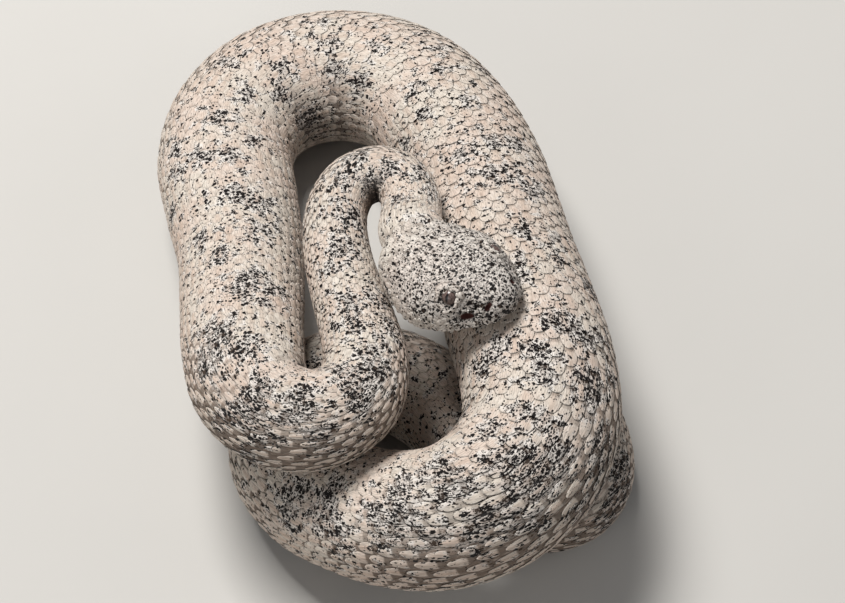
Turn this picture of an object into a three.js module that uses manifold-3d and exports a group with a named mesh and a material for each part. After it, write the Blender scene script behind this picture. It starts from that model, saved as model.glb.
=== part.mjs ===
// A speckled rattlesnake lying coiled, life size. Millimetres, +Z up, resting on the plane z = 0.
// The body is one long tapered tube laid along a route, cut into named lengths with thin gaps,
// and pressed flat wherever it lies on the ground or against another stretch of itself.
import * as THREE from "three";
import { mergeVertices } from "three/addons/utils/BufferGeometryUtils.js";
import Module from "manifold-3d";

const wasm = await Module();
wasm.setup();

// ---------------------------------------------------------------- driving dimensions

// The route of the backbone from behind the head to the root of the rattle, as a rope would be laid.
const ROUTE = [
  // neck, turning back over the inner side of the coil
  [-3.3, 6.2, 67], [-3.4, 12.5, 64], [-3.5, 21, 62], [-6.5, 28.5, 61.5],
  [-13.5, 32, 61], [-21, 29, 60], [-25.5, 20, 58.5],
  // forebody, running forward beside the left limb
  [-25.5, 7.5, 56.5], [-22.5, -6.5, 55.5], [-18.5, -21, 55], [-16.5, -34, 55],
  // left hairpin, resting on the front limb
  [-20, -45.5, 55.5], [-30, -52, 56], [-41, -50, 55], [-49, -40.5, 53],
  // left limb, sloping down to the ground at the back
  [-52.5, -23.5, 48], [-54, -1, 40.5], [-55.5, 22.5, 33], [-59.5, 46, 26.5], [-62.5, 68, 21],
  // back arc, lying on the ground
  [-59, 85, 18.7], [-49, 97.5, 18.4], [-33.5, 104, 18.6], [-16.5, 101.5, 20.8], [-2, 90.5, 25],
  // right limb, climbing forward over the tail
  [9.5, 70.5, 31], [16.5, 50, 36], [20, 32, 40], [24, 11, 44], [29.5, -12, 47],
  // right bend, the highest fold of the heavy middle body
  [33.5, -31, 49], [34.2, -47.5, 49], [29.5, -61.5, 48], [19.5, -71.5, 45.2], [7, -75, 40.2],
  // front limb, coming down to the ground on the left
  [-7, -71.5, 33], [-20.5, -63.5, 25.5], [-32, -54, 19.5],
  // hairpin under the left loop, and back to the right under the front limb
  [-39.5, -41, 16.8], [-39, -26.5, 15.6], [-29, -14.5, 15.1], [-13.5, -10.5, 14.7], [1, -17, 14.3],
  [12, -28.5, 14], [19.5, -42, 13.5], [27, -51.3, 13],
  // last turn, out at the lower right and back under the right limb
  [36, -55.2, 12.6], [45, -52, 12.3], [50, -43.3, 11.9], [49.8, -30, 11.4], [44, -12, 10.4],
  // tail, along the outer side of the right limb
  [38, 6, 8.8], [34, 26, 7.3], [30, 45, 6.1], [26, 63, 5.2],
];

// Half-width of the body at distances from the neck joint.
const GIRTH = [
  [0, 10.6], [10, 9.6], [22, 9.0], [45, 9.2], [65, 10], [92, 11.3], [117, 13.4], [137, 15.5],
  [167, 18], [220, 19.2], [252, 21], [300, 22.3], [406, 22], [476, 23.4], [528, 23], [568, 20.8],
  [606, 18.6], [646, 17.2], [686, 16], [751, 13.6], [792, 11.4], [812, 9.4], [834, 7.5], [856, 5.9],
];
const GIRTH_SMOOTHING = 9;

// The named lengths of the body, and the distance along the route at which each ends.
const LENGTHS = [
  ["neck", 52], ["forebody", 108], ["left_loop", 160], ["left_limb", 262], ["back_arc", 350],
  ["right_limb", 468], ["right_bend", 552], ["front_limb", 600], ["under_hairpin", 658],
  ["under_limb", 716], ["under_bend", 767], ["hind_length", 792], ["tail", Infinity],
];

const SECTION_HEIGHT = 0.9;      // height of a body section against its width
const SECTION_SIDES = 24;
const RING_STEP = 6;             // distance between sections along the body
const JOINT_GAP = 0.3;           // between two lengths, face to face
const CONTACT_GAP = 0.5;         // between two stretches that lie against each other
const NEIGHBOUR_REACH = 3;       // in half-widths: nearer stretches never press each other
const NECK_FREE = 60;            // the body this near the head isn't pressed by it
const FOLD_LIMIT = 0.8;          // how near the centre of a tight bend its inner side may come
const PILE_CENTRE = [-10.25, 14.84];  // middle of the coiled snake seen from above

// Head, in its own frame: x forward from the neck joint, y to its left, z up.
const HEAD_AT = new THREE.Vector3(-4.3, -1.5, 69);
const HEAD_TURN = { yaw: -39, pitch: 9.5, roll: 1 };
const NAPE_TURN = 38;            // the back of the head bends round by this towards the neck
const NAPE_LENGTH = 14;
const HEAD_LENGTH = 39.3;
const HEAD_SIDES = 40;
const SNOUT_FROM = 34;           // from here forward the sections lie closer
const BROAD_RINGS = 17;
const SNOUT_RINGS = 6;
// distance forward, half-width at the lips, height of crown, depth of jaw, depth of the mouth line
const HEAD_SECTIONS = [
  [0, 10.6, 9.3, 9.5, 5.2], [4, 15.5, 8.8, 9.8, 5.6], [8, 17.5, 8.4, 10.5, 6.0],
  [13, 19.4, 8.2, 11.0, 6.4], [18, 20.0, 8.1, 11.0, 6.6], [22.4, 18.5, 8.0, 10.6, 6.4],
  [26.7, 16.5, 7.6, 9.9, 6.0], [30.2, 13.7, 6.8, 8.8, 5.4], [33.6, 10.8, 5.7, 7.5, 4.7],
  [36.3, 8.2, 4.4, 6.4, 4.0], [38.2, 5.6, 3.0, 5.4, 3.4], [39.3, 2.3, 1.2, 4.2, 3.0],
];
const HEAD_BOXINESS = 0.8;       // 1 is an ellipse, less is squarer
const CROWN_TAPER = 0.36;        // how much narrower the crown is than the lips
const LIP_RIDGE = 0.5;
const JAW_WIDTH = 0.95;          // the jaw closes inside the lips
const JAW_BACK = 5;
const JAW_FRONT = 38.2;
const MOUTH_STEPS = 14;

const EYE = { x: 24.7, z: 4.0, radius: 2.5, inset: 2.25 };
const BROW = { x: 24.6, z: 6.4, half: [4.4, 2.3, 1.1], inset: 1.5 };
const PIT = { x: 31.0, z: -0.6, half: [1.7, 1.6, 1.1], inset: -0.2 };
const NOSTRIL = { x: 35.4, z: 1.9, half: [0.8, 1.2, 1.1], inset: -0.2 };

// Rattle: hollow-looking lobed buttons, each nested on the last, as one piece.
const RATTLE = { segments: 7, pitch: 3.1, root: 5.0, tip: 3.9, height: 0.72, sides: 14 };

const COLOURS = { skin: "#d8c8b3", head: "#cfc2b4", eye: "#6d5a50", tail: "#a7a29b", rattle: "#a5875c" };

// ---------------------------------------------------------------- the route

const UP = new THREE.Vector3(0, 0, 1);

function headAxes() {
  const { roll, pitch, yaw } = HEAD_TURN;
  const angles = [roll, -pitch, yaw].map(THREE.MathUtils.degToRad);
  return new THREE.Quaternion().setFromEuler(new THREE.Euler(...angles, "ZYX"));
}

// The middle line of the head at a distance forward, and how far it is turned there to the right.
function napeAt(x) {
  const share = Math.max(0, 1 - x / NAPE_LENGTH);
  const most = THREE.MathUtils.degToRad(NAPE_TURN);
  const back = (NAPE_LENGTH * most ** 2 * share ** 4) / 8;
  const aside = (NAPE_LENGTH * most * share ** 2.5) / 2.5;
  return { middle: new THREE.Vector3(x + back, aside, 0), turn: -most * share ** 1.5 };
}

function neckJoint() {
  return napeAt(0).middle.applyQuaternion(headAxes()).add(HEAD_AT);
}

const routePoints = [neckJoint(), ...ROUTE.map((point) => new THREE.Vector3(...point))];
const route = new THREE.CatmullRomCurve3(routePoints, false, "centripetal");
route.arcLengthDivisions = 4000;
const BODY_LENGTH = route.getLength();

function between(table, distance, column = 1) {
  if (distance <= table[0][0]) return table[0][column];
  for (let i = 1; i < table.length; i++) {
    if (distance <= table[i][0]) {
      const [start, end] = [table[i - 1], table[i]];
      const share = (distance - start[0]) / (end[0] - start[0]);
      return start[column] + (end[column] - start[column]) * share;
    }
  }
  return table[table.length - 1][column];
}

function halfWidth(distance) {
  let sum = 0;
  for (let k = -2; k <= 2; k++) sum += between(GIRTH, distance + (k * GIRTH_SMOOTHING) / 2);
  return sum / 5;
}

// A section's frame: its centre, the way the body runs (tailward), and its own left and up.
function frameAt(distance) {
  if (distance <= 0) {
    const axes = headAxes().multiply(new THREE.Quaternion().setFromAxisAngle(UP, napeAt(0).turn));
    return {
      centre: neckJoint(),
      along: new THREE.Vector3(-1, 0, 0).applyQuaternion(axes),
      side: new THREE.Vector3(0, 1, 0).applyQuaternion(axes),
      normal: new THREE.Vector3(0, 0, 1).applyQuaternion(axes),
    };
  }
  const share = Math.min(distance / BODY_LENGTH, 1);
  const centre = route.getPointAt(share);
  const along = route.getTangentAt(share);
  const side = along.clone().cross(UP).normalize();
  const normal = side.clone().cross(along);
  return { centre, along, side, normal };
}

// The way and the strength of the bend at a distance, as a vector towards its centre.
function bendAt(distance) {
  const span = 5;
  const before = route.getTangentAt(Math.max(distance - span, 0) / BODY_LENGTH);
  const after = route.getTangentAt(Math.min(distance + span, BODY_LENGTH) / BODY_LENGTH);
  return after.sub(before).divideScalar(2 * span);
}

// ---------------------------------------------------------------- how the coils press together

// In this space a body section is a circle, so that distances to the body's surface are simple.
function toRound(point) {
  return new THREE.Vector3(point.x, point.y, point.z / SECTION_HEIGHT);
}

const STATION_STEP = 4;
const stations = [];
for (let distance = 0; distance <= BODY_LENGTH; distance += STATION_STEP) {
  stations.push({
    distance,
    centre: toRound(route.getPointAt(distance / BODY_LENGTH)),
    radius: halfWidth(distance),
  });
}

// How far outside the nearest other stretch of the body a point is.
function clearOfOthers(point, distance, reach) {
  const round = toRound(point);
  const nearest = new THREE.Vector3();
  const segment = new THREE.Line3();
  let least = Infinity;
  for (let i = 1; i < stations.length; i++) {
    const [start, end] = [stations[i - 1], stations[i]];
    if (end.distance > distance - reach && start.distance < distance + reach) continue;
    segment.set(start.centre, end.centre);
    const share = segment.closestPointToPointParameter(round, true);
    segment.at(share, nearest);
    const radius = start.radius + (end.radius - start.radius) * share;
    least = Math.min(least, nearest.distanceTo(round) - radius);
  }
  return least;
}

// How far outside the head a point is, taking the head as a stack of squarish ovals.
function clearOfHead(point) {
  const local = point.clone().sub(HEAD_AT).applyQuaternion(headAxes().invert());
  const x = THREE.MathUtils.clamp(local.x, 0, HEAD_LENGTH - 2);
  const half = between(HEAD_SECTIONS, x, 1) + LIP_RIDGE;
  const tall = between(HEAD_SECTIONS, x, local.z > 0 ? 2 : 3);
  const power = 2 / HEAD_BOXINESS;
  const ratio = (Math.abs(local.y / half) ** power + Math.abs(local.z / tall) ** power) ** (1 / power);
  return Math.hypot(Math.max(ratio - 1, 0) * tall, local.x - x) + Math.min(ratio - 1, 0) * tall;
}

// The share of a section's spoke that is left once the body is pressed by ground, bend and coils.
function pressedShare(frame, spoke, distance, bend) {
  let share = 1;
  if (frame.centre.z + spoke.z < 0) share = Math.min(share, -frame.centre.z / spoke.z);
  const inward = bend.dot(spoke);
  if (inward > FOLD_LIMIT) share = Math.min(share, FOLD_LIMIT / inward);
  const radius = halfWidth(distance);
  const reach = NEIGHBOUR_REACH * radius;
  const point = new THREE.Vector3();
  const clearance = (s) => {
    point.copy(frame.centre).addScaledVector(spoke, s);
    const coils = clearOfOthers(point, distance, reach) + (1 - s) * radius;
    const head = distance > NECK_FREE ? clearOfHead(point) : coils;
    return Math.min(coils, head) - CONTACT_GAP;
  };
  if (clearance(share) >= 0) return share;
  let [low, high] = [0.2, share];
  for (let i = 0; i < 24; i++) {
    const middle = (low + high) / 2;
    if (clearance(middle) >= 0) low = middle;
    else high = middle;
  }
  return low;
}

// ---------------------------------------------------------------- solids from rings of points

// Closes a stack of rings with flat ends into one geometry; every ring has the same sides.
function skinRings(rings, firstTip, lastTip) {
  const positions = [];
  const index = [];
  const sides = rings[0].length;
  for (const ring of rings) for (const point of ring) positions.push(point.x, point.y, point.z);
  for (let r = 0; r + 1 < rings.length; r++) {
    for (let i = 0; i < sides; i++) {
      const j = (i + 1) % sides;
      const [a, b] = [r * sides + i, r * sides + j];
      index.push(a, b + sides, b, a, a + sides, b + sides);
    }
  }
  const first = positions.length / 3;
  positions.push(firstTip.x, firstTip.y, firstTip.z, lastTip.x, lastTip.y, lastTip.z);
  const lastRing = (rings.length - 1) * sides;
  for (let i = 0; i < sides; i++) {
    const j = (i + 1) % sides;
    index.push(first, i, j, first + 1, lastRing + j, lastRing + i);
  }
  const geometry = new THREE.BufferGeometry();
  geometry.setAttribute("position", new THREE.Float32BufferAttribute(positions, 3));
  geometry.setIndex(index);
  return geometry;
}

function toManifold(geometry) {
  const bare = geometry.clone();
  for (const name of Object.keys(bare.attributes)) if (name !== "position") bare.deleteAttribute(name);
  const merged = mergeVertices(bare, 1e-5);
  return new wasm.Manifold(new wasm.Mesh({
    numProp: 3,
    vertProperties: new Float32Array(merged.attributes.position.array),
    triVerts: new Uint32Array(merged.index.array),
  }));
}

// Back to a geometry, keeping only the largest closed surface.
function fromManifold(solid) {
  const bodies = solid.decompose();
  bodies.sort((a, b) => b.volume() - a.volume());
  const mesh = bodies[0].getMesh();
  const geometry = new THREE.BufferGeometry();
  geometry.setAttribute("position", new THREE.Float32BufferAttribute(mesh.vertProperties, 3));
  geometry.setIndex(Array.from(mesh.triVerts));
  return geometry;
}

function named(name, geometry, colour, roughness) {
  geometry.computeVertexNormals();
  const material = new THREE.MeshStandardMaterial({ color: colour, roughness, metalness: 0 });
  const mesh = new THREE.Mesh(geometry, material);
  mesh.name = name;
  return mesh;
}

// ---------------------------------------------------------------- body lengths and tail

function bodyRing(distance, shift) {
  const frame = frameAt(distance);
  const bend = bendAt(distance);
  const radius = halfWidth(distance);
  const ring = [];
  for (let i = 0; i < SECTION_SIDES; i++) {
    const angle = (i / SECTION_SIDES) * 2 * Math.PI;
    const spoke = frame.side.clone().multiplyScalar(Math.cos(angle) * radius);
    spoke.addScaledVector(frame.normal, Math.sin(angle) * radius * SECTION_HEIGHT);
    const share = pressedShare(frame, spoke, distance, bend);
    const point = frame.centre.clone().addScaledVector(spoke, share).addScaledVector(frame.along, shift);
    ring.push(point.setZ(Math.max(point.z, 0)));
  }
  const middle = frame.centre.clone().addScaledVector(frame.along, shift);
  return { ring, middle };
}

function bodyLength(name, from, to) {
  const steps = Math.max(2, Math.round((to - from) / RING_STEP));
  const rings = [];
  for (let i = 0; i <= steps; i++) {
    let shift = 0;
    if (i === 0) shift = JOINT_GAP / 2;
    if (i === steps) shift = -JOINT_GAP / 2;
    rings.push(bodyRing(from + ((to - from) * i) / steps, shift));
  }
  const geometry = skinRings(rings.map((r) => r.ring), rings[0].middle, rings[steps].middle);
  const colour = name === "tail" ? COLOURS.tail : COLOURS.skin;
  return named(name, geometry, colour, 0.7);
}

function makeBody() {
  const pieces = [];
  let from = 0;
  for (const [name, end] of LENGTHS) {
    const to = Math.min(end, BODY_LENGTH);
    pieces.push(bodyLength(name, from, to));
    from = to;
  }
  return pieces;
}

// ---------------------------------------------------------------- head

function squared(value) {
  return Math.sign(value) * Math.abs(value) ** HEAD_BOXINESS;
}

// A point of the head's surface, at a distance forward and an angle round it from its left side.
function headPoint(x, angle, width = 1) {
  const half = between(HEAD_SECTIONS, x, 1) * width;
  const crown = between(HEAD_SECTIONS, x, 2);
  const depth = between(HEAD_SECTIONS, x, 3);
  const lip = -between(HEAD_SECTIONS, x, 4);
  const [across, high] = [squared(Math.cos(angle)), squared(Math.sin(angle))];
  const z = high > 0 ? crown * high : depth * high;
  const rise = THREE.MathUtils.clamp((z - lip) / (crown - lip), 0, 1);
  const ridge = LIP_RIDGE * Math.exp(-(((z - lip - 1) / 1.1) ** 2));
  const { middle, turn } = napeAt(x);
  const point = new THREE.Vector3(0, across * (half * (1 - CROWN_TAPER * rise) + ridge), z);
  return point.applyAxisAngle(UP, turn).add(middle);
}

function headForm(width) {
  const stops = [];
  for (let i = 0; i <= BROAD_RINGS; i++) stops.push((i / BROAD_RINGS) * SNOUT_FROM);
  const snout = HEAD_LENGTH - SNOUT_FROM;
  for (let i = 1; i <= SNOUT_RINGS; i++) stops.push(SNOUT_FROM + (i / SNOUT_RINGS) * snout);
  const rings = stops.map((x) => {
    const ring = [];
    for (let i = 0; i < HEAD_SIDES; i++) ring.push(headPoint(x, (-i / HEAD_SIDES) * 2 * Math.PI, width));
    return ring;
  });
  const { middle: first, turn } = napeAt(0);
  const clear = new THREE.Vector3(JOINT_GAP / 2, 0, 0).applyAxisAngle(UP, turn);
  for (const point of [...rings[0], first]) point.add(clear);
  const last = new THREE.Vector3(HEAD_LENGTH, 0, -1.4);
  return toManifold(skinRings(rings, first, last));
}

// The half-width of the head's side at a height, for placing what sits on the face.
function faceAt(x, z) {
  let best = null;
  for (let i = 0; i <= 360; i++) {
    const point = headPoint(x, ((i - 180) / 360) * Math.PI);
    if (!best || Math.abs(point.z - z) < Math.abs(best.z - z)) best = point;
  }
  return best.y;
}

// Everything below the line of the mouth, seen from the side, drawn out across the head.
function belowMouth(gap) {
  const low = -30;
  const outline = [new THREE.Vector2(JAW_BACK - gap, low)];
  for (let i = 0; i <= MOUTH_STEPS; i++) {
    const x = JAW_BACK + ((JAW_FRONT - JAW_BACK) * i) / MOUTH_STEPS;
    const edge = i === 0 ? -gap : i === MOUTH_STEPS ? gap : 0;
    outline.push(new THREE.Vector2(x + edge, -between(HEAD_SECTIONS, x, 4) + gap));
  }
  outline.push(new THREE.Vector2(JAW_FRONT + gap, low));
  const wide = 60;
  const settings = { depth: wide, bevelEnabled: false, steps: 1 };
  const geometry = new THREE.ExtrudeGeometry(new THREE.Shape(outline), settings);
  geometry.rotateX(Math.PI / 2).translate(0, wide / 2, 0);
  return toManifold(geometry);
}

function oval(spec, side, detail = 12) {
  const y = (faceAt(spec.x, spec.z) - spec.inset) * side;
  const geometry = new THREE.SphereGeometry(1, detail, Math.round(detail / 2));
  geometry.rotateX(Math.PI / 2).scale(...spec.half).translate(spec.x, y, spec.z);
  return toManifold(geometry);
}

function eyeball(side, radius) {
  const y = (faceAt(EYE.x, EYE.z) - EYE.inset) * side;
  return new THREE.SphereGeometry(radius, 18, 12).rotateX(Math.PI / 2).translate(EYE.x, y, EYE.z);
}

function makeHead() {
  const below = JOINT_GAP / 2;
  let skull = headForm(1);
  for (const side of [1, -1]) skull = skull.add(oval(BROW, side, 16));
  skull = skull.subtract(belowMouth(below));
  for (const side of [1, -1]) {
    skull = skull.subtract(toManifold(eyeball(side, EYE.radius + JOINT_GAP)));
    skull = skull.subtract(oval(PIT, side));
    skull = skull.subtract(oval(NOSTRIL, side, 10));
  }
  const jaw = headForm(JAW_WIDTH).intersect(belowMouth(-below));
  const group = new THREE.Group();
  group.position.copy(HEAD_AT);
  group.quaternion.copy(headAxes());
  group.add(named("head", fromManifold(skull), COLOURS.head, 0.7));
  group.add(named("jaw", fromManifold(jaw), COLOURS.head, 0.7));
  group.add(named("eye_left", eyeball(1, EYE.radius), COLOURS.eye, 0.2));
  group.add(named("eye_right", eyeball(-1, EYE.radius), COLOURS.eye, 0.2));
  return group;
}

// ---------------------------------------------------------------- rattle

// One button of the rattle: two bulges with a waist, nested into the next.
function rattleButton(radius) {
  const { pitch, sides } = RATTLE;
  const profile = [
    [0, -0.15], [0.62, -0.15], [0.96, 0.2], [1, 0.45], [0.84, 0.72], [0.86, 0.95], [0.7, 1.3], [0, 1.3],
  ];
  const points = profile.map(([across, along]) => new THREE.Vector2(across * radius, along * pitch));
  return new THREE.LatheGeometry(points, sides);
}

function makeRattle() {
  const end = frameAt(BODY_LENGTH);
  const { segments, pitch, root, tip, height } = RATTLE;
  let solid = null;
  for (let i = 0; i < segments; i++) {
    const share = i / (segments - 1);
    const button = rattleButton(root + (tip - root) * share);
    button.scale(1, 1, height).translate(0, i * pitch, 0);
    const piece = toManifold(button);
    solid = solid ? solid.add(piece) : piece;
  }
  const mesh = named("rattle", fromManifold(solid), COLOURS.rattle, 0.45);
  const level = end.along.clone().setZ(0).normalize();
  const axes = new THREE.Matrix4().makeBasis(level.clone().cross(UP), level, UP);
  mesh.quaternion.setFromRotationMatrix(axes);
  mesh.position.copy(end.centre).addScaledVector(level, JOINT_GAP + 0.15 * pitch);
  mesh.position.z = root * height;
  return mesh;
}

// ---------------------------------------------------------------- the whole snake

const snake = new THREE.Group();
snake.add(...makeBody(), makeHead(), makeRattle());
snake.position.set(-PILE_CENTRE[0], -PILE_CENTRE[1], 0);
snake.updateMatrixWorld(true);

export default snake;
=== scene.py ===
"""A speckled rattlesnake lying coiled, life size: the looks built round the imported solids."""

import math

import bpy
import numpy as np
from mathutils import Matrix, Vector
from mathutils.kdtree import KDTree


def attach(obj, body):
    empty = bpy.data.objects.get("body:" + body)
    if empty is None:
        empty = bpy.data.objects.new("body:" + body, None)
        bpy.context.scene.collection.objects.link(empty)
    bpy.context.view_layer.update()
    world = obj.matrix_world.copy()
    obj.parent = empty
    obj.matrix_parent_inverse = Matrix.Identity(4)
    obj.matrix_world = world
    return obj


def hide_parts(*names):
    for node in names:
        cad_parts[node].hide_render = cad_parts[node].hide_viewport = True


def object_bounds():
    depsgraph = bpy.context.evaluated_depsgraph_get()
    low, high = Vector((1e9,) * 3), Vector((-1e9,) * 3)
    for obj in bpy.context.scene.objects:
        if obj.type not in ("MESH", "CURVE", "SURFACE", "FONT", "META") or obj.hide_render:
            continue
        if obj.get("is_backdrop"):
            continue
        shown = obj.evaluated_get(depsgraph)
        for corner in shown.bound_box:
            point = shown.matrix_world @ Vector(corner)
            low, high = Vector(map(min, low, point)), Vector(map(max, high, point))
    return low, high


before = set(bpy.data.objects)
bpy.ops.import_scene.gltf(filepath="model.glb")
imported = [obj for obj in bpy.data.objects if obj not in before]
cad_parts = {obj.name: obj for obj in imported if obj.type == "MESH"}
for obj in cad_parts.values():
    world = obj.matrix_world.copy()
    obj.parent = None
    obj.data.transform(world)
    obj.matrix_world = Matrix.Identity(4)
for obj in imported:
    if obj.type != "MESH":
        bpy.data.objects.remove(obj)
cad_low, cad_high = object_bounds()

# ---------------------------------------------------------------- stage, lights and camera
# A pale matt floor under the snake, a broad overhead light with two weaker fills, and a long
# lens that looks down on the coils from the front.

MM = 0.001
PILE_CENTRE = np.array([-10.25, 14.84, 0.0])       # middle of the coils in the route's own numbers
FOCAL_LENGTH = 130
CAMERA_DISTANCE = 0.915
CAMERA_ELEVATION = math.radians(55)
CAMERA_TARGET = (np.array([0.0, 0.0, 40.0]) - PILE_CENTRE) * MM
SENSOR_WIDTH = 36
FLOOR_SIZE = 6.0
FLOOR_DROP = 0.0002
SKY_TINT = (0.92, 0.95, 1.0, 1)
SKY_STRENGTH = 0.15
LAMP_WARM = (1.0, 0.985, 0.96)


def shader(name):
    """A new node material: the material, its node tree and its surface shader."""
    material = bpy.data.materials.new(name)
    material.use_nodes = True
    return material, material.node_tree, material.node_tree.nodes["Principled BSDF"]


def put(tree, kind, inputs=None, **settings):
    """Adds a node. An input is given by name or number, as a value or as a socket to link."""
    node = tree.nodes.new(kind)
    for key, value in settings.items():
        setattr(node, key, value)
    for key, value in (inputs or {}).items():
        if isinstance(value, bpy.types.NodeSocket):
            tree.links.new(value, node.inputs[key])
        else:
            node.inputs[key].default_value = value
    return node


def calc(tree, operation, *values, clamp=False):
    """One Math node's result."""
    node = put(tree, "ShaderNodeMath", dict(enumerate(values)), operation=operation, use_clamp=clamp)
    return node.outputs[0]


def vector_calc(tree, operation, first, second):
    """One Vector Math node's result. To scale a vector, the second value is a number."""
    by = "Scale" if operation == "SCALE" else 1
    node = put(tree, "ShaderNodeVectorMath", {0: first, by: second}, operation=operation)
    return node.outputs[0]


def fade(tree, value, start, end, low=0.0, high=1.0):
    """Eases from low to high as the value goes from start to end."""
    limits = {"Value": value, "From Min": start, "From Max": end, "To Min": low, "To Max": high}
    return put(tree, "ShaderNodeMapRange", limits, interpolation_type="SMOOTHSTEP").outputs[0]


def mixed(tree, share, low, high, blend="MIX"):
    """Mixes two colours by a share."""
    node = put(tree, "ShaderNodeMix", {0: share, 6: low, 7: high}, data_type="RGBA", blend_type=blend)
    return node.outputs[2]


def noise(tree, scale, detail, **place):
    """A Noise Texture's outputs, a value and a colour. Its place is given as Vector."""
    return put(tree, "ShaderNodeTexNoise", {"Scale": scale, "Detail": detail, **place}).outputs


FLOOR_GREY = (0.54, 0.525, 0.50, 1)
FLOOR_PALE = (0.58, 0.565, 0.54, 1)
floor_material, tree, surface = shader("studio_floor")
floor_colour = mixed(tree, noise(tree, 60.0, 4.0)[0], FLOOR_GREY, FLOOR_PALE)
tree.links.new(floor_colour, surface.inputs["Base Color"])
surface.inputs["Roughness"].default_value = 0.9

half = FLOOR_SIZE / 2
floor_corners = [(x * half, y * half, -FLOOR_DROP) for x, y in ((-1, -1), (1, -1), (1, 1), (-1, 1))]
floor_mesh = bpy.data.meshes.new("floor")
floor_mesh.from_pydata(floor_corners, [], [(0, 1, 2, 3)])
floor_mesh.materials.append(floor_material)
floor = bpy.data.objects.new("floor", floor_mesh)
bpy.context.scene.collection.objects.link(floor)
floor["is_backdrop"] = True

world = bpy.data.worlds.new("studio")
world.use_nodes = True
world.node_tree.nodes["Background"].inputs["Color"].default_value = SKY_TINT
world.node_tree.nodes["Background"].inputs["Strength"].default_value = SKY_STRENGTH
bpy.context.scene.world = world
bpy.context.scene.view_settings.view_transform = "Standard"


def softbox(name, place, size, power, colour):
    """A square area light at a place in metres, facing the snake."""
    light = bpy.data.lights.new(name, "AREA")
    light.size = size
    light.energy = power
    light.color = colour
    lamp = bpy.data.objects.new(name, light)
    bpy.context.scene.collection.objects.link(lamp)
    place = np.array(place)
    towards = Vector(CAMERA_TARGET - place)
    lamp.location = Vector(place)
    lamp.rotation_euler = towards.to_track_quat("-Z", "Y").to_euler()
    return lamp


softbox("key_light", (-0.36, 0.42, 1.3), 0.5, 23.5, LAMP_WARM)
softbox("front_fill", (-0.7, -1.15, 0.65), 1.0, 4.3, LAMP_WARM)
softbox("right_fill", (1.2, -0.2, 0.7), 0.9, 1.9, (1.0, 0.98, 0.96))

camera_data = bpy.data.cameras.new("camera")
camera_data.lens = FOCAL_LENGTH
camera_data.sensor_width = SENSOR_WIDTH
camera_data.clip_start = 0.01
camera = bpy.data.objects.new("camera", camera_data)
back = np.array([0.0, -math.cos(CAMERA_ELEVATION), math.sin(CAMERA_ELEVATION)])
camera.location = Vector(CAMERA_TARGET + back * CAMERA_DISTANCE)
camera.rotation_euler = (math.pi / 2 - CAMERA_ELEVATION, 0, 0)
bpy.context.scene.collection.objects.link(camera)
bpy.context.scene.camera = camera

# ---------------------------------------------------------------- backbone, girth and head form
# The animal is a long tapered tube laid like a rope, with a flat broad head at its upper end.
# Lengths here are millimetres: distances run from the neck joint tailward, and round the body
# an angle runs from its left side over the back.

UP = np.array([0.0, 0.0, 1.0])
ROUTE = [
    # neck, turning back over the inner side of the coil
    (-3.3, 6.2, 67), (-3.4, 12.5, 64), (-3.5, 21, 62), (-6.5, 28.5, 61.5),
    (-13.5, 32, 61), (-21, 29, 60), (-25.5, 20, 58.5),
    # forebody, running forward beside the left limb
    (-25.5, 7.5, 56.5), (-22.5, -6.5, 55.5), (-18.5, -21, 55), (-16.5, -34, 55),
    # left hairpin, resting on the front limb
    (-20, -45.5, 55.5), (-30, -52, 56), (-41, -50, 55), (-49, -40.5, 53),
    # left limb, sloping down to the ground at the back
    (-52.5, -23.5, 48), (-54, -1, 40.5), (-55.5, 22.5, 33), (-59.5, 46, 26.5), (-62.5, 68, 21),
    # back arc, lying on the ground
    (-59, 85, 18.7), (-49, 97.5, 18.4), (-33.5, 104, 18.6), (-16.5, 101.5, 20.8), (-2, 90.5, 25),
    # right limb, climbing forward over the tail
    (9.5, 70.5, 31), (16.5, 50, 36), (20, 32, 40), (24, 11, 44), (29.5, -12, 47),
    # right bend, the highest fold of the heavy middle body
    (33.5, -31, 49), (34.2, -47.5, 49), (29.5, -61.5, 48), (19.5, -71.5, 45.2), (7, -75, 40.2),
    # front limb, coming down to the ground on the left
    (-7, -71.5, 33), (-20.5, -63.5, 25.5), (-32, -54, 19.5),
    # hairpin under the left loop, and back to the right under the front limb
    (-39.5, -41, 16.8), (-39, -26.5, 15.6), (-29, -14.5, 15.1), (-13.5, -10.5, 14.7), (1, -17, 14.3),
    (12, -28.5, 14), (19.5, -42, 13.5), (27, -51.3, 13),
    # last turn, out at the lower right and back under the right limb
    (36, -55.2, 12.6), (45, -52, 12.3), (50, -43.3, 11.9), (49.8, -30, 11.4), (44, -12, 10.4),
    # tail, along the outer side of the right limb
    (38, 6, 8.8), (34, 26, 7.3), (30, 45, 6.1), (26, 63, 5.2),
]
GIRTH = np.array([
    (0, 10.6), (10, 9.6), (22, 9.0), (45, 9.2), (65, 10), (92, 11.3), (117, 13.4), (137, 15.5),
    (167, 18), (220, 19.2), (252, 21), (300, 22.3), (406, 22), (476, 23.4), (528, 23), (568, 20.8),
    (606, 18.6), (646, 17.2), (686, 16), (751, 13.6), (792, 11.4), (812, 9.4), (834, 7.5), (856, 5.9),
])
GIRTH_SMOOTHING = 9
SECTION_HEIGHT = 0.9
HEAD_AT = np.array([-4.3, -1.5, 69.0])
HEAD_YAW = math.radians(-39)
HEAD_PITCH = math.radians(9.5)
HEAD_ROLL = math.radians(1)
NAPE_TURN = math.radians(38)
NAPE_LENGTH = 14
HEAD_LENGTH = 39.3
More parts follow.
